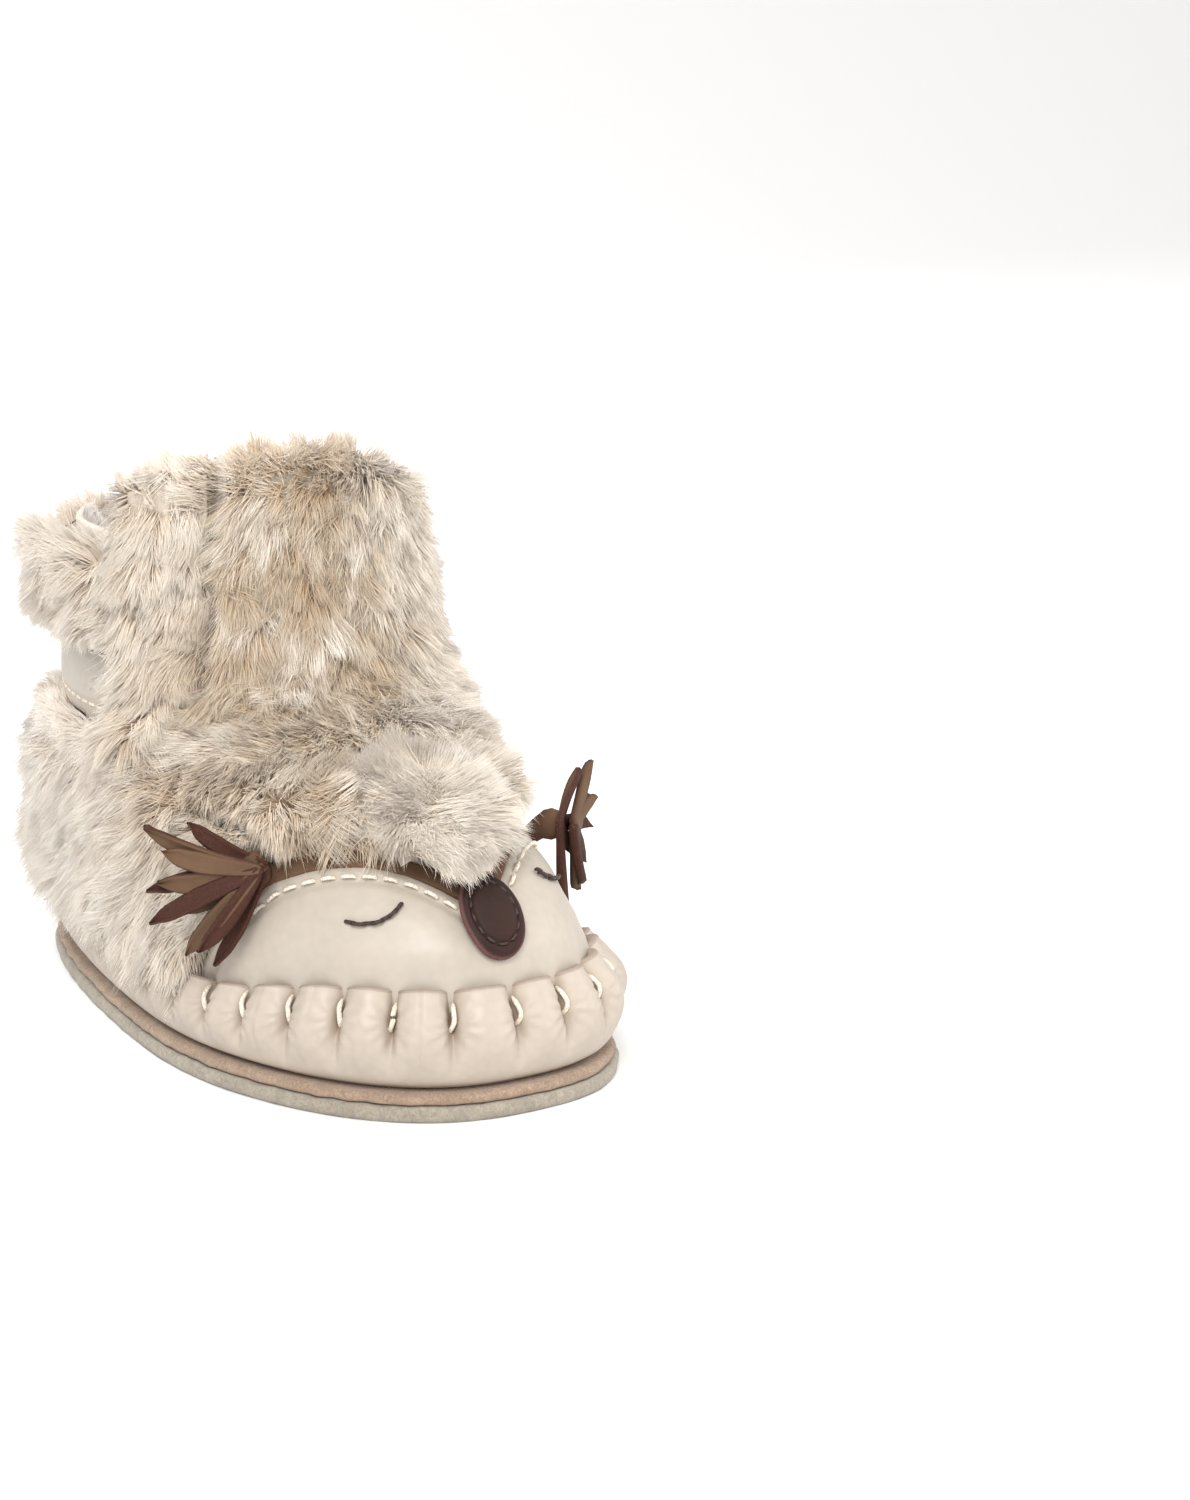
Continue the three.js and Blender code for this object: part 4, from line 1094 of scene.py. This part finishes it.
def ear_strand(root, back, up, out, spec, rng, lift):
    """One pointed strand of fringe: its own turn, roll and curl, and a grain and a flesh side."""
    rise, length, width, roll, curl, shown = spec
    rise, roll, curl = (math.radians(v + rng.uniform(-3, 3)) for v in (rise + 7, roll, curl))
    along = back * math.cos(rise) + up * math.sin(rise)
    wide = -back * math.sin(rise) + up * math.cos(rise)
    t = np.linspace(0, 1, STRAND_KNOTS)
    bend = curl * t**1.5
    splay = math.radians(rng.uniform(-8, 14)) * t
    step = along * np.cos(bend)[:, None] + wide * np.sin(bend)[:, None] * 0.8 + out * np.sin(splay)[:, None]
    steps = np.vstack([np.zeros(3), unit(step[1:])]) * length / (STRAND_KNOTS - 1)
    centre = root + out * lift + np.cumsum(steps, axis=0)
    ahead = unit(np.gradient(centre, axis=0))
    turn = roll * t
    flat = unit(np.cross(np.cross(ahead, wide), ahead))
    face = np.cross(ahead, flat)
    across = flat * np.cos(turn)[:, None] + face * np.sin(turn)[:, None]
    size = 0.27 * width * np.interp(t, [0, 0.12, 0.6, 0.85, 1.0], [0.42, 0.62, 1.0, 0.8, 0.06])
    skew = width * 0.16 * t**3
    v = np.linspace(-1, 1, STRAND_COLUMNS)
    grid = centre[:, None] + across[:, None] * (size[:, None] * v[None] + skew[:, None])[..., None]
    normals = unit(np.cross(across, ahead))[:, None] * np.ones((1, STRAND_COLUMNS, 1))
    cup = 0.35 * width * 0.25 * (v**2)[None, :] * (0.4 + t[:, None])
    grid = grid + normals * cup[..., None]
    points, faces, front_side = slab(grid, normals, 1.0)
    flesh = 1 - front_side if shown == 0 else front_side
    rim_start = 2 * STRAND_KNOTS * STRAND_COLUMNS
    flesh[rim_start:] = 1
    if np.dot(normals[0, 0], out) < 0:
        flesh[:rim_start] = 1 - flesh[:rim_start]
    return points, faces, flesh


def build_ears(settings):
    for side, label in SIDES:
        rng = np.random.default_rng(40 + side)
        root = ear_seat(side)
        out = np.array([side * math.cos(EAR_TURN), -math.sin(EAR_TURN), 0])
        up = np.array([0, 0, 1.0])
        back = np.cross(up, out) * side
        parts, flesh = [], []
        for k, spec in enumerate(EAR_STRANDS):
            place = root + out * EAR_OUT[side] - back * 2.0 + up * 3.0
            lift = 1.3 * (k % 3) + 0.7 * math.sin(k * 2.1)
            points, faces, show = ear_strand(place, back, up, out, spec, rng, lift)
            parts.append((points, faces))
            flesh.append(show)
        turn = np.linspace(0, 2 * math.pi, 24, endpoint=False)
        ends = []
        for reach, radius in ((1.6, 1.2), (3.0, 1.5), (4.6, 1.7), (5.8, 1.9), (6.8, 1.6), (7.2, 0.9)):
            hoop = radius * (np.cos(turn)[:, None] * up * 1.25 + np.sin(turn)[:, None] * back * 0.9)
            ends.append(root + out * reach + up * 2.4 * ease(reach, 1, 5) + hoop)
        points, faces = lathe_plate(ends)
        parts.append((points, faces))
        flesh.append(np.full(len(points), 0.25))
        piece = new_piece("fringe_ear_" + label, *joined(parts), finish("nubuck"), merge=False)
        set_value(piece, "flesh", np.concatenate(flesh))
        fit(piece, "ear_" + label, "brown_nubuck", "ear_fringe_" + label)


# ---- pile over the foot and ankle ----
DOWN = np.array([0.0, 0, -1])


class Pelt:
    """A fur solid of the frame, rounded off: its surface, its normals and which way each point lies away from the
    leather.
    """

    def __init__(self, name, reshape=None, rounds=8, voxel=1.1):
        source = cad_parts[name]
        copy = new_object("pelt", source.data.copy())
        remesh = copy.modifiers.new("Remesh", "REMESH")
        remesh.mode, remesh.voxel_size = "VOXEL", voxel * MM
        smooth = copy.modifiers.new("Smooth", "SMOOTH")
        smooth.factor, smooth.iterations = 0.5, rounds
        bpy.context.view_layer.update()
        mesh = bpy.data.meshes.new_from_object(copy.evaluated_get(bpy.context.evaluated_depsgraph_get()))
        mesh.calc_loop_triangles()
        self.points = np.empty((len(mesh.vertices), 3))
        mesh.vertices.foreach_get("co", self.points.reshape(-1))
        self.points /= MM
        self.normals = np.empty((len(mesh.vertices), 3))
        mesh.vertices.foreach_get("normal", self.normals.reshape(-1))
        self.triangles = np.empty((len(mesh.loop_triangles), 3), int)
        mesh.loop_triangles.foreach_get("vertices", self.triangles.reshape(-1))
        bpy.data.objects.remove(copy)
        bpy.data.meshes.remove(mesh)
        self.points = narrowed(self.points)
        tree = skin_tree(0.0)
        found = [tree.find_nearest(Vector(p)) for p in self.points]
        skin = np.array([f[0] for f in found])
        self.away = unit(np.array([f[1] for f in found], float))
        self.open = (self.normals * self.away).sum(1)
        if reshape is not None:
            self.points = self.points + reshape(self.points, self.away)

    def backing(self, name, inset, material):
        """The cloth that the pile grows from, just inside the solid's surface."""
        faces = self.triangles.tolist()
        return new_piece(name, self.points - inset * self.normals, faces, material)

    def roots(self, rng, count, inset, outer=-0.25, keep=None):
        """Random roots over the outer side: points, normals and directions away from the foot."""
        corner = self.points[self.triangles]
        area = np.linalg.norm(np.cross(corner[:, 1] - corner[:, 0], corner[:, 2] - corner[:, 0]), axis=1)
        usable = (self.open[self.triangles] > outer).all(1)
        if keep is not None:
            usable &= keep(corner.mean(1))
        area = np.where(usable, area, 0)
        chosen = rng.choice(len(area), count, p=area / area.sum())
        share = rng.dirichlet((1, 1, 1), count)[:, :, None]
        normals = unit((self.normals[self.triangles[chosen]] * share).sum(1))
        points = (self.points[self.triangles[chosen]] * share).sum(1) - inset * normals
        return points, normals, unit((self.away[self.triangles[chosen]] * share).sum(1))


def grow(settings, node_name, body, name, seed, layers, hairs, flow=(0, 0, 0), top=None, scale=1.0, tan=None, keep=None,
         reshape=None, **how):
    """Pile over one fur solid, in one or more layers, on its backing cloth."""
    pelt = Pelt(node_name, reshape)
    fit(pelt.backing(name + "_backing", settings.root_depth + 0.4, finish("backing_knit")), body, "fur")
    how = {"clump": settings.tuft, "gather": 0.62, "swirl": 0.6, "lean": (0.3, 1.15), **how}
    for layer in range(layers):
        rng = np.random.default_rng(seed + layer)
        roots, normals, away = pelt.roots(rng, hairs, settings.root_depth, keep=keep)
        heading = np.tile(DOWN, (len(roots), 1)) + 0.25 * away
        heading = heading + (flow(roots) if callable(flow) else np.array(flow))
        if top is not None:
            near = ease(roots[:, 2], top - 7, top)[:, None]
            heading = heading * (1 - near) + near * (0.7 * away + np.array([0, 0, 0.55]))
        size = settings.fur_length * scale * cropped(roots)
        made = pile("%s_%d" % (name, layer + 1), rng, roots, normals, heading, finish("long_pile"), length=size,
                    width=settings.hair_width, tan=tan, **how)
        fit(made, body, "fur", *([node_name] if layer == 0 else []))


def cropped(p):
    """How long the pile is left, as a share: it is cut short under the ears and along the strap."""
    gaps = [np.linalg.norm(p - ear_seat(side) - np.array([side * 4, 4, -2]), axis=1) for side in (-1, 1)]
    ears = np.min(gaps, axis=0)
    rear = ease(p[:, 1], 4, 9)
    near_strap = 1 - ease(np.maximum(STRAP_LOW - p[:, 2], p[:, 2] - STRAP_HIGH), 1.0, 5.5)
    return (0.5 + 0.5 * ease(ears, 9, 15)) * (1 - 0.5 * rear * near_strap)


def tan_patch(p):
    """Where the tongue's pile shows its tan roots: outer side of the middle, away from the edges."""
    across = 1 - ease(np.abs(p[:, 0] + 12), 8, 22)
    up = ease(p[:, 2], 44, 52) * (1 - ease(p[:, 2], 74, 88))
    return 0.62 + 1.5 * across * (0.35 + 0.65 * up)


def low_tan(p):
    return 0.25 + 0.75 * ease(p[:, 2], 26, 40) * ease(-p[:, 1], -2, 14)


def pale(p):
    return np.full(len(p), 0.3)


def wing_tan(p):
    return mix(1.05, 0.35, ease(p[:, 1], WING_FRONT, 4))


def top_line(p):
    """The tongue's top is an arch, lower on the inner side, and its wings carry the line on down."""
    rear = ease(p[..., 1], WING_FRONT, WING_REAR)
    inner = 7.2 * ease(p[..., 0], -3, 18) + 1.5 * rear * (p[..., 0] > 0)
    outer = 1.0 * ease(-p[..., 0], 12, 24) + 3.2 * rear * (p[..., 0] < 0)
    fall = (1.2 - inner - outer) * ease(p[..., 2], 56, TONGUE_TOP)
    lean = -1.8 * ease(p[..., 0], 10, 20) * ease(p[..., 2], 60, TONGUE_TOP)
    return np.stack([lean, 0 * fall, fall], -1)


def full_tongue(p, away):
    """The tongue's pile thickens to meet its wings."""
    meet = 3.4 * ease(p[:, 1], -18, WING_FRONT - 1) * ease(p[:, 2], 46, 56)
    trim = 1.5 * ease(p[:, 0], 8, 20)
    return away * (meet - trim)[:, None] + top_line(p)


def trimmed_wing(p, away):
    rear = ease(p[:, 1], -3, WING_REAR)
    return top_line(p) - away * (0.3 + 1.3 * rear + 1.2 * (p[:, 0] > 0))[:, None]


def trim_inner(p, away):
    """The inner side's pile is closer cut between the face and the ankle, and the heel's is fuller."""
    cut = 2.3 * ease(p[:, 0], 4, 18) * ease(-p[:, 1], -8, 4) * ease(p[:, 2], 14, 24)
    full = 1.2 * ease(p[:, 1], 14, 34) * (1 - ease(p[:, 2], 36, 42))
    return away * (full - cut)[:, None]


def build_tongue(settings):
    grow(settings, "tongue_fur", "tongue", "tongue_pile", 101, settings.tongue_layers, settings.hairs,
         top=TONGUE_TOP, tan=tan_patch, reshape=full_tongue, flow=(-0.35, 0, 0))
    for side, label in SIDES:
        grow(settings, "wing_fur_" + label, "wing_" + label, "wing_pile_" + label, 120 + side, 1, settings.hairs,
             top=TONGUE_TOP - 3, scale=0.9, tan=wing_tan, reshape=trimmed_wing, flow=(0, -0.1, 0))


def build_vamp(settings):
    grow(settings, "vamp_fur", "bootie", "vamp_pile", 202, 2, settings.hairs * 3 // 4,
         flow=(0, -0.4, 0), scale=0.95, tan=low_tan, reshape=trim_inner)
    seat = on_upper(TOE + 14, 0, 2)
    grow(settings, "fur_forelock", "bootie", "forelock_pile", 240, 2, settings.hairs * 4 // 5, scale=0.9,
         clump=1.5, gather=0.4, swirl=0.9, tan=lambda p: 0.2 + 0.6 * ease(p[:, 1], -44, -34),
         reshape=lambda p, away: away + np.array([-1.6, 0.6, 0.4]),
         flow=lambda p: 0.8 * unit(p - seat) + np.array([[0.15, -0.5, 0.7]]), lean=(0.25, 0.95))


def build_quarters(settings):
    for side, label in SIDES:
        grow(settings, "quarter_fur_" + label, "bootie", "quarter_pile_" + label, 303 + 10 * side, 2, settings.hairs,
             flow=(0, 0.25, 0), tan=low_tan, keep=lambda p: p[:, 2] > 12, reshape=trim_inner)


def build_collar(settings):
    def lowered(p, away):
        return np.array([0, 0, -1.5]) * ease(p[:, 2], 60, COLLAR_TOP)[:, None]

    grow(settings, "collar_fur", "bootie", "collar_pile", 404, 1, settings.hairs, top=COLLAR_TOP, scale=0.95,
         tan=pale, reshape=lowered, keep=lambda p: p[:, 2] > STRAP_HIGH + 1.0)


# ---- strap, pads and linings ----
def column_skin(name, region, z_low, z_high, offset, thickness, material, angles, columns, rows=26, follow=None):
    """A backing sheet over the part of the upper between two heights where a region holds."""
    theta = even_angles((z_low + z_high) / 2, offset, *angles, columns)
    levels = np.linspace(z_low, z_high, 260)
    kept = []
    for angle in theta:
        column = upper(angle, levels, offset)
        inside = np.flatnonzero(region(column))
        if len(inside) < 6:
            continue
        column = column[inside[0] : inside[-1] + 1]
        run = run_of(column)
        want = np.linspace(0, run[-1], rows)
        z = np.interp(want, run, column[:, 2])
        kept.append((angle, z))
    angle = np.array([k[0] for k in kept])[None, :] + np.zeros((rows, 1))
    z = np.array([k[1] for k in kept]).T
    points, faces, _ = slab(upper(angle, z, offset), upper_normal(angle, z, offset), thickness)
    return new_piece(name, points if follow is None else points + follow(points), faces, material)


def turned_up(roots, normals, flow, top, reach=5.0, share=0.75):
    """Pile near a top edge stands up and out over it."""
    w = (share * ease(roots[:, 2], top - reach, top))[:, None]
    return unit(normals + 0.8 * w * np.array([0, 0, 1.0])), flow * (1 - 2 * w) + 0.4 * w * normals


def wrap(offset, z_low, z_high, y_from, columns=220, rows=14, side=0, y_to=None):
    """A grid round the rear of the ankle, from one y over the heel and back."""
    dense = np.linspace(-1.2, math.pi + 1.2, 4000)
    ring = upper(dense, (z_low + z_high) / 2, offset)
    inside = ring[:, 1] > y_from
    if y_to is not None:
        inside &= ring[:, 1] < y_to
    if side:
        inside &= np.sign(ring[:, 0]) == side
    found = dense[inside]
    theta = even_angles((z_low + z_high) / 2, offset, found[0], found[-1], columns)
    angle = theta[None, :] + np.zeros((rows, 1))
    z = np.linspace(z_low, z_high, rows)[:, None] + np.zeros((1, columns))
    return upper(angle, z, offset), upper_normal(angle, z, offset)


def build_strap(settings):
    grid, normals = wrap(2.25, STRAP_LOW, STRAP_HIGH, -3.5, 260, 22)
    rng = np.random.default_rng(8)
    v = np.linspace(-1, 1, 22)[:, None]
    inset = 1 - settings.strap_stitch_inset / 6
    plump = 0.42 * (1 - v**2) - 0.3 * hump(np.abs(v) - inset, 0.075)
    soft = 0.22 * waves(grid.reshape(-1, 3), rng, 11.0).reshape(grid.shape[:2]) * ease(grid[..., 1], 6, 16)
    points, faces, _ = slab(grid + normals * (plump + 0.25 * soft)[..., None], normals, LEATHER)
    strap = new_piece("ankle_strap_leather", points, faces, finish("face_leather"))
    fit(strap, "bootie", "cream_leather", "ankle_strap")
    edge = settings.strap_stitch_inset
    for row, node_name in ((STRAP_LOW + edge, "lower"), (STRAP_HIGH - edge, "upper")):
        line, out = wrap(2.9, row - 0.01, row + 0.01, -3.0, 500, 2)
        points, faces = stitches(line[0] - 0.1 * out[0], out[0], 2.0, 0.75, 0.26)
        piece = new_piece("strap_stitches_" + node_name, points, faces, finish("cream_thread"))
        fit(piece, "bootie", "cream_thread", "strap_thread_" + node_name)
    grid, normals = wrap(LEATHER / 2, INSTEP + 0.15, 67, WING_REAR + 0.9, 200, 30)
    points, faces, _ = slab(grid, normals, LEATHER - 0.1)
    fit(new_piece("shaft_leather", points, faces, finish("face_leather")), "bootie", "cream_leather", "shaft_wall")
    for side, label in SIDES:
        for node_name, offset, body in (("loop_pad_", 3.45, "bootie"), ("hook_pad_", 4.25, "wing_" + label)):
            grid, normals = wrap(offset, STRAP_LOW + 1.5, STRAP_HIGH - 1.5, -0.5, 24, 24, side, 5.5)
            points, faces, _ = slab(grid, normals, 0.45)
            tape = new_piece(node_name + "tape_" + label, points, faces, finish("tape_weave"))
            fit(tape, body, "tape", node_name + label)


def build_linings(settings):
    rng = np.random.default_rng(505)
    knit, plush = finish("lining_knit"), finish("short_pile")

    def line(name, body, region, z_range, offset, thickness, span, hairs, columns, *nodes):
        follow = top_line if body != "bootie" else None
        skin = column_skin(name + "_backing", region, *z_range, offset, thickness, knit, span, columns, 26, follow)
        fit(skin, body, "plush")
        roots, normals = sample(rng, hairs, region, z_range, offset - thickness / 2, span)
        flow = np.tile(DOWN, (len(roots), 1))
        inward, flow = turned_up(roots, -normals, flow, z_range[1], 3.0, 0.9)
        roots = roots if follow is None else roots + follow(roots)
        made = pile(name + "_pile", rng, roots, inward, flow, plush, length=2.7, width=0.26, clump=2.2,
                    gather=0.4, swirl=0.7, lean=(0.25, 0.9))
        fit(made, body, "plush", *nodes)

    def of_tongue(p):
        return (p[..., 1] > FOLD_LINE + 0.6) & (p[..., 1] < WING_FRONT - 0.2) & (p[..., 2] < TONGUE_TOP - 0.7)

    def of_wing(side):
        ahead, behind = WING_FRONT + 0.3, WING_REAR - 1.5
        return lambda p: (
            (np.sign(p[..., 0]) == side) & (p[..., 1] > ahead) & (p[..., 1] < behind) & (p[..., 2] < TONGUE_TOP - 0.7)
        )

    line("tongue_plush", "tongue", of_tongue, (INSTEP + 0.3, TONGUE_TOP - 0.6), -0.9, 1.2, (-math.pi, 0),
         settings.lining_hairs, 90, "tongue_lining")
    line("shaft_plush", "bootie", lambda p: p[..., 1] > WING_REAR + 1, (INSTEP + 0.2, COLLAR_TOP - 0.2), -0.9, 1.2,
         (-0.6, math.pi + 0.6), settings.lining_hairs, 110, "shaft_lining")
    line("foot_plush", "bootie", lambda p: p[..., 2] > 0, (10.6, INSTEP - 0.4), -0.9, 1.2, (-math.pi, math.pi - 0.001),
         settings.lining_hairs, 170, "foot_lining")
    for side, label in SIDES:
        span = (-math.pi - 0.6, -math.pi / 2) if side < 0 else (-math.pi / 2, 0.6)
        line("wing_plush_" + label, "wing_" + label, of_wing(side), (STRAP_HIGH + 0.5, TONGUE_TOP - 0.6), 4.0, 0.9,
             span, settings.lining_hairs // 4, 30, "wing_lining_" + label)


# ---- stage, light and camera ----
def build_stage(settings):
    mesh = bpy.data.meshes.new("floor")
    size = 3.0
    t = np.linspace(0, math.pi / 2, 16)
    profile = [(-size, 0.0)] + [(0.9 + 0.5 * math.sin(a), 0.5 - 0.5 * math.cos(a)) for a in t] + [(1.4, size)]
    points = [(x, y, z) for y, z in profile for x in (-size, size)]
    faces = [(2 * i, 2 * i + 1, 2 * i + 3, 2 * i + 2) for i in range(len(profile) - 1)]
    mesh.from_pydata(points, [], faces)
    mesh.shade_smooth()
    made, tree, shader = new_finish("floor_paper")
    shader.inputs["Base Color"].default_value = (0.86, 0.86, 0.86, 1)
    shader.inputs["Roughness"].default_value = 0.9
    mesh.materials.append(made)
    floor = new_object("floor", mesh)
    world = bpy.data.worlds.new("studio")
    world.use_nodes = True
    world.node_tree.nodes["Background"].inputs[0].default_value = (1.0, 0.99, 0.98, 1)
    world.node_tree.nodes["Background"].inputs[1].default_value = settings.sky
    bpy.context.scene.world = world
    for name, place, width, power in (
        ("key", (-0.55, -0.75, 0.85), 0.6, settings.key),
        ("fill", (0.8, -0.45, 0.4), 0.7, settings.key * 0.3),
        ("back", (-0.1, 0.8, 0.7), 0.6, settings.key * 0.45),
    ):
        light = bpy.data.lights.new(name, "AREA")
        light.energy, light.size = power, width
        lamp = new_object(name, light)
        lamp.location = place
        lamp.rotation_euler = (Vector((0, 0, 0.04)) - Vector(place)).to_track_quat("-Z", "Y").to_euler()
    build_camera()


# the camera's view: its width, height and focal length, and how far across and down the origin shows
FRAME_WIDE, FRAME_TALL, FOCAL = 1190, 1500, 3315.0
ORIGIN_ACROSS, ORIGIN_DOWN = 303.0, 1001.0


def build_camera():
    """Looks from half a metre away, a little above, at the front of the outer side."""
    azimuth, elevation, distance = math.radians(-33.5), math.radians(13.5), 0.5
    right = Vector((math.cos(azimuth), math.sin(azimuth), 0))
    level = math.cos(elevation)
    back = Vector((math.sin(azimuth) * level, -math.cos(azimuth) * level, math.sin(elevation)))
    up = back.cross(right)
    over = (ORIGIN_ACROSS - FRAME_WIDE / 2) / FOCAL * distance
    above = -(ORIGIN_DOWN - FRAME_TALL / 2) / FOCAL * distance
    data = bpy.data.cameras.new("camera")
    data.sensor_width = 36.0
    data.lens = FOCAL / FRAME_TALL * data.sensor_width
    data.clip_start, data.clip_end = 0.01, 20
    camera = new_object("camera", data)
    turn = Matrix((right, up, back)).transposed()
    camera.matrix_world = Matrix.Translation(back * distance - right * over - up * above) @ turn.to_4x4()
    bpy.context.scene.camera = camera
    bpy.context.scene.view_settings.view_transform = "Standard"


# ---- the add-on ----
def length(name, description, default):
    return FloatProperty(name=name, description=description, default=default, min=0.0)


def tone(name, description, default):
    return FloatVectorProperty(name=name, description=description, default=default, subtype="COLOR", min=0, max=1)


def number(name, description, default):
    return IntProperty(name=name, description=description, default=default, min=1)


class BootieSizes(bpy.types.PropertyGroup):
    """Sizes in millimetres, and how many hairs each piece has."""

    fur_length: length("Fur length", "Length of the long pile in millimetres", 7.5)
    hair_width: length("Hair width", "Width of one hair of the long pile in millimetres", 0.2)
    root_depth: length("Root depth", "How far below the fur's surface its hairs begin in millimetres", 2.6)
    tuft: length("Tuft size", "Size of the tufts that the hairs gather in, in millimetres", 1.7)
    pleat_depth: length("Pleat depth", "How deep the band's pleats are in millimetres", 2.9)
    toe_rise: length("Band rise at the toe", "How much taller the band stands round the toe in millimetres", 4.0)
    band_wall: length("Band thickness", "Thickness of the band's leather in millimetres", 1.5)
    sole_stitch_inset: length("Sole stitch inset", "Distance of the stitches from the sole's edge in millimetres", 5.0)
    face_stitch_inset: length("Face stitch inset", "Distance of the stitches from the face panel's edge", 2.6)
    strap_stitch_inset: length("Strap stitch inset", "Distance of the stitches from the strap's edges", 2.0)
    eye_span: length("Eye span", "Width of a sleeping eye in millimetres", 6.6)
    tongue_layers: number("Tongue layers", "How many layers of pile the tongue has", 3)
    hairs: number("Hairs", "Hairs in one layer of the long pile", 19000)
    lining_hairs: number("Lining hairs", "Short hairs of each lining", 12000)


class BootieLook(bpy.types.PropertyGroup):
    """Colours of the finishes."""

    leather: tone("Leather", "Colour of the cream leather", (0.425, 0.374, 0.313))
    fur_tip: tone("Fur tips", "Colour at the ends of the long pile", (0.98, 0.9, 0.79))
    fur_root: tone("Fur roots", "Colour at the roots of the long pile", (0.42, 0.27, 0.14))
    nubuck: tone("Nubuck", "Colour of the brown strips and ears", (0.105, 0.06, 0.034))
    suede: tone("Suede", "Colour of the sole", (0.36, 0.315, 0.25))


class BootieStage(bpy.types.PropertyGroup):
    """Light."""

    key: FloatProperty(name="Key light", description="Power of the main light", default=13.0, unit="POWER")
    sky: FloatProperty(name="Sky", description="Strength of the light from all around", default=0.9)


def maker(name, title, about, build, group):
    """An operator class for one piece or group of pieces."""

    def execute(self, context):
        build(getattr(context.scene, group))
        return {"FINISHED"}

    body = {"bl_idname": "bootie." + name, "bl_label": title, "bl_description": about, "__doc__": about,
            "execute": execute}
    return type("BOOTIE_OT_" + name, (bpy.types.Operator,), body)


OPERATORS = (
    maker("stage", "Stage", "Lays the floor, lights it and sets up the camera", build_stage, "bootie_stage"),
    maker("sole", "Sole", "Builds the suede sole, its edge layer and its stitches", build_sole, "bootie_sizes"),
    maker("band", "Band", "Builds the pleated band and the thread that gathers it", build_band, "bootie_sizes"),
    maker("insole", "Insole", "Builds the foam insole and the plush sock", build_insole, "bootie_sizes"),
    maker("face", "Face", "Builds the face panel, its stitches and the brow strips", build_face, "bootie_sizes"),
    maker("nose", "Nose", "Builds the nose patch and its stitches", build_nose, "bootie_sizes"),
    maker("eyes", "Eyes", "Stitches the two sleeping eyes", build_eyes, "bootie_sizes"),
    maker("ears", "Ears", "Cuts the fringed ears", build_ears, "bootie_sizes"),
    maker("vamp", "Vamp", "Grows the pile over the instep and the forelock", build_vamp, "bootie_sizes"),
    maker("quarters", "Quarters", "Grows the pile round the heel", build_quarters, "bootie_sizes"),
    maker("collar", "Collar", "Grows the pile behind the ankle", build_collar, "bootie_sizes"),
    maker("tongue", "Tongue", "Grows the pile of the tongue and its wings", build_tongue, "bootie_sizes"),
    maker("strap", "Strap", "Builds the ankle strap, its stitches and its pads", build_strap, "bootie_sizes"),
    maker("linings", "Linings", "Lines the foot, the shaft, the tongue and the wings", build_linings, "bootie_sizes"),
)


class BOOTIE_PT_panel(bpy.types.Panel):
    """Sidebar panel with the sizes, the colours and a button for each piece."""

    bl_label = "Baby bootie"
    bl_space_type = "VIEW_3D"
    bl_region_type = "UI"
    bl_category = "Bootie"

    def draw(self, context):
        scene = context.scene
        for group in (scene.bootie_sizes, scene.bootie_look, scene.bootie_stage):
            for key in group.__annotations__:
                self.layout.prop(group, key)
        for operator in OPERATORS:
            self.layout.operator(operator.bl_idname)


CLASSES = (BootieSizes, BootieLook, BootieStage, *OPERATORS, BOOTIE_PT_panel)


def register():
    for cls in CLASSES:
        bpy.utils.register_class(cls)
    bpy.types.Scene.bootie_sizes = PointerProperty(type=BootieSizes)
    bpy.types.Scene.bootie_look = PointerProperty(type=BootieLook)
    bpy.types.Scene.bootie_stage = PointerProperty(type=BootieStage)


def unregister():
    del bpy.types.Scene.bootie_sizes, bpy.types.Scene.bootie_look, bpy.types.Scene.bootie_stage
    for cls in reversed(CLASSES):
        bpy.utils.unregister_class(cls)


def main():
    register()
    for operator in OPERATORS:
        getattr(bpy.ops.bootie, operator.bl_idname.split(".")[1])()


if __name__ == "__main__":
    main()
